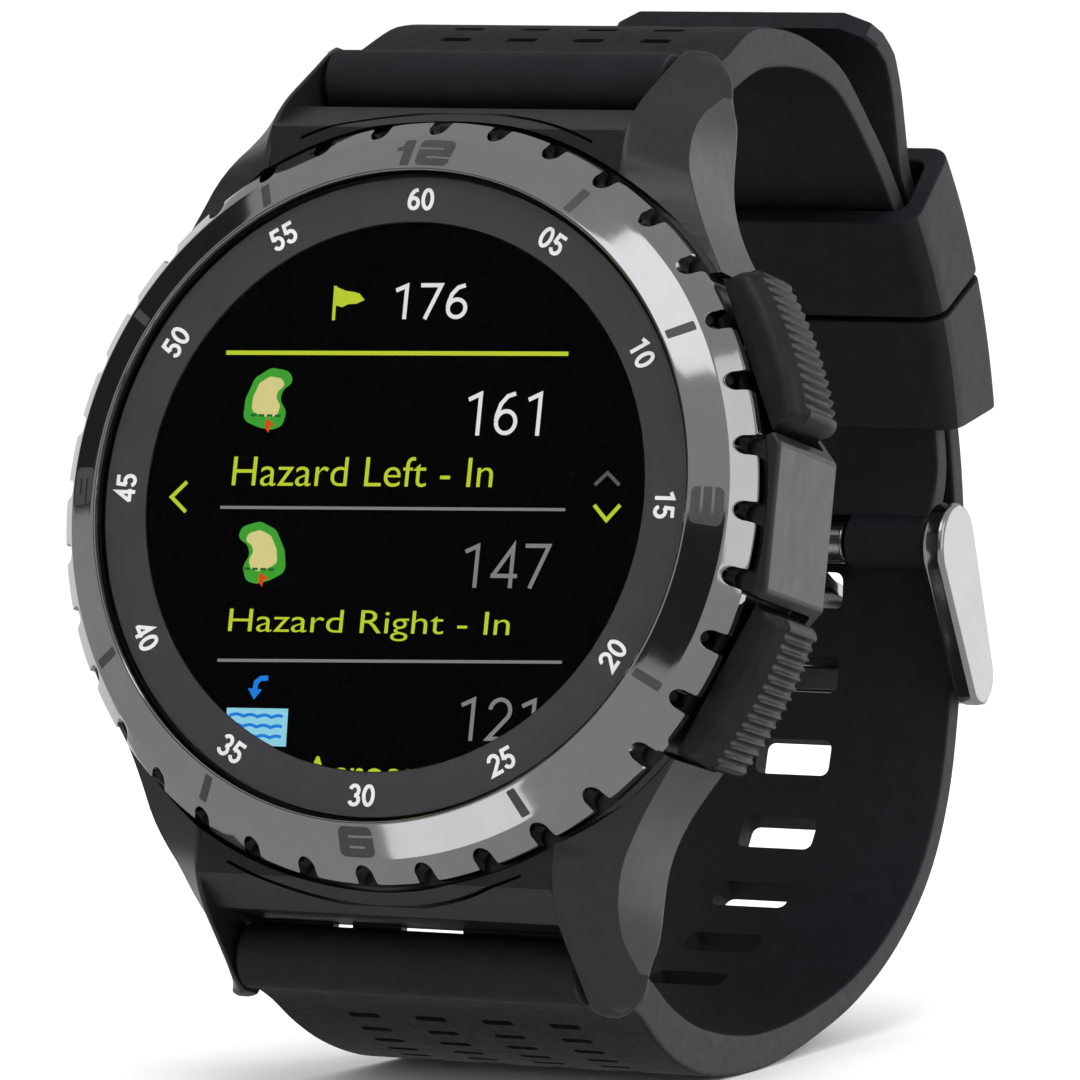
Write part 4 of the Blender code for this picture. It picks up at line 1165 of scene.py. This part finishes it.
def dress_frame():
    """Gives every CAD node that stays its own finished material, by how its name starts."""
    for finish, starts in FINISHES.items():
        for node, thing in frame["nodes"].items():
            if node.startswith(starts):
                thing.data.materials.clear()
                thing.data.materials.append(MATS[finish])


# --- Studio, metres ---
FLOOR_SIZE, WORLD_STRENGTH = 60, 1.2
LAMP_WATTS, LAMP_TARGET = 4.0, (0, 0, 0.035)
SURROUND_RADIUS, SURROUND_GREY = 1.6, 0.3
# Flat panels round the watch that only reflections see: (name, place, width and height, brightness).
PANELS = [("softbox_high", (0.25, -0.55, 0.85), (0.6, 0.45), 1.2),
          ("softbox_side", (0.95, -0.1, 0.35), (0.4, 0.9), 0.85),
          ("softbox_low", (-0.15, -0.8, -0.55), (0.45, 0.3), 1.0),
          ("softbox_back_left", (-0.75, 0.65, 0.0), (0.6, 0.7), 0.75),
          ("softbox_back_right", (0.45, 0.9, 0.0), (0.8, 0.8), 0.95),
          ("flag_front", (-0.45, -0.85, 0.35), (0.6, 0.6), 0.02),
          ("flag_right", (0.55, -0.85, 0.1), (0.45, 0.45), 0.02),
          ("flag_left", (-0.9, 0.05, 0.4), (0.25, 0.6), 0.02)]
CAMERA = DIAL + Vector((0.275878, -0.539533, 0.03865))
CAMERA_TURN_DEG = (86.082, -0.0106, 26.181)
SENSOR_MM, LENS_MM = 36, 321.7


def stage_mesh(name, bm, finish):
    mesh = bpy.data.meshes.new(name)
    bm.to_mesh(mesh)
    bm.free()
    mesh.materials.append(finish)
    thing = add(name, mesh)
    return thing


def plane(name, centre, facing, size, finish):
    """A flat card facing a direction, in metres."""
    bm = bmesh.new()
    bmesh.ops.create_grid(bm, x_segments=1, y_segments=1, size=0.5)
    bmesh.ops.scale(bm, vec=(size[0], size[1], 1), verts=bm.verts)
    card = stage_mesh(name, bm, finish)
    card.location = centre
    card.rotation_euler = Vector(facing).to_track_quat("Z", "Y").to_euler()
    return card


def area_light(name, centre, size):
    data = bpy.data.lights.new(name, "AREA")
    data.shape = "RECTANGLE"
    data.size, data.size_y = size
    data.energy = LAMP_WATTS
    lamp = add(name, data)
    lamp.location = centre
    lamp.visible_glossy = False
    lamp.rotation_euler = (Vector(centre) - Vector(LAMP_TARGET)).to_track_quat("Z", "Y").to_euler()


def make_studio():
    floor_finish = Nodes("floor_pale", (0.86, 0.86, 0.86), 0.85, Specular_IOR_Level=0.0)
    floor_finish.tint(floor_finish.noise(3, 2), (0.86, 0.86, 0.86), (0.88, 0.88, 0.88))
    plane("floor", (0, 0, 0), (0, 0, 1), (FLOOR_SIZE, FLOOR_SIZE), floor_finish.made).visible_glossy = False
    world = bpy.data.worlds.new("studio")
    bpy.context.scene.world = world
    world.use_nodes = True
    background = world.node_tree.nodes["Background"]
    background.inputs["Color"].default_value = (1, 1, 1, 1)
    background.inputs["Strength"].default_value = WORLD_STRENGTH
    make_reflectors()
    area_light("key", (0.1, -0.45, 0.85), (0.5, 0.5))
    area_light("side", (0.8, -0.1, 0.4), (0.3, 0.6))


def only_reflected(piece):
    piece.visible_camera = piece.visible_diffuse = piece.visible_shadow = False


def glow(name, level):
    return Nodes(name, (0, 0, 0), 1.0, Emission_Color=(1, 1, 1, 1), Emission_Strength=level,
                 Specular_IOR_Level=0.0).made


def make_reflectors():
    """Plain softboxes and black flags at fixed places, in an even grey surround."""
    for name, place, size, level in PANELS:
        only_reflected(plane(name, place, -Vector(place), size, glow(name, level)))
    bm = bmesh.new()
    bmesh.ops.create_uvsphere(bm, u_segments=48, v_segments=24, radius=SURROUND_RADIUS)
    only_reflected(stage_mesh("surround", bm, glow("surround_grey", SURROUND_GREY)))


def make_camera():
    data = bpy.data.cameras.new("camera")
    data.sensor_width = SENSOR_MM
    data.lens = LENS_MM
    data.clip_start = 0.01
    camera = add("camera", data)
    camera.location = CAMERA
    camera.rotation_euler = [radians(v) for v in CAMERA_TURN_DEG]
    bpy.context.scene.camera = camera
    bpy.context.scene.view_settings.view_transform = "Standard"


def main():
    make_lights_of_screen()
    dress_frame()
    make_camera()
    make_studio()
    make_case()
    make_bezel()
    make_inlays()
    make_glass()
    make_minute_ring()
    make_screen()
    make_pushers()
    make_long_strap()
    make_short_strap()
    make_keepers()
    make_buckle()
    make_tang()
    make_bar_tips()


main()
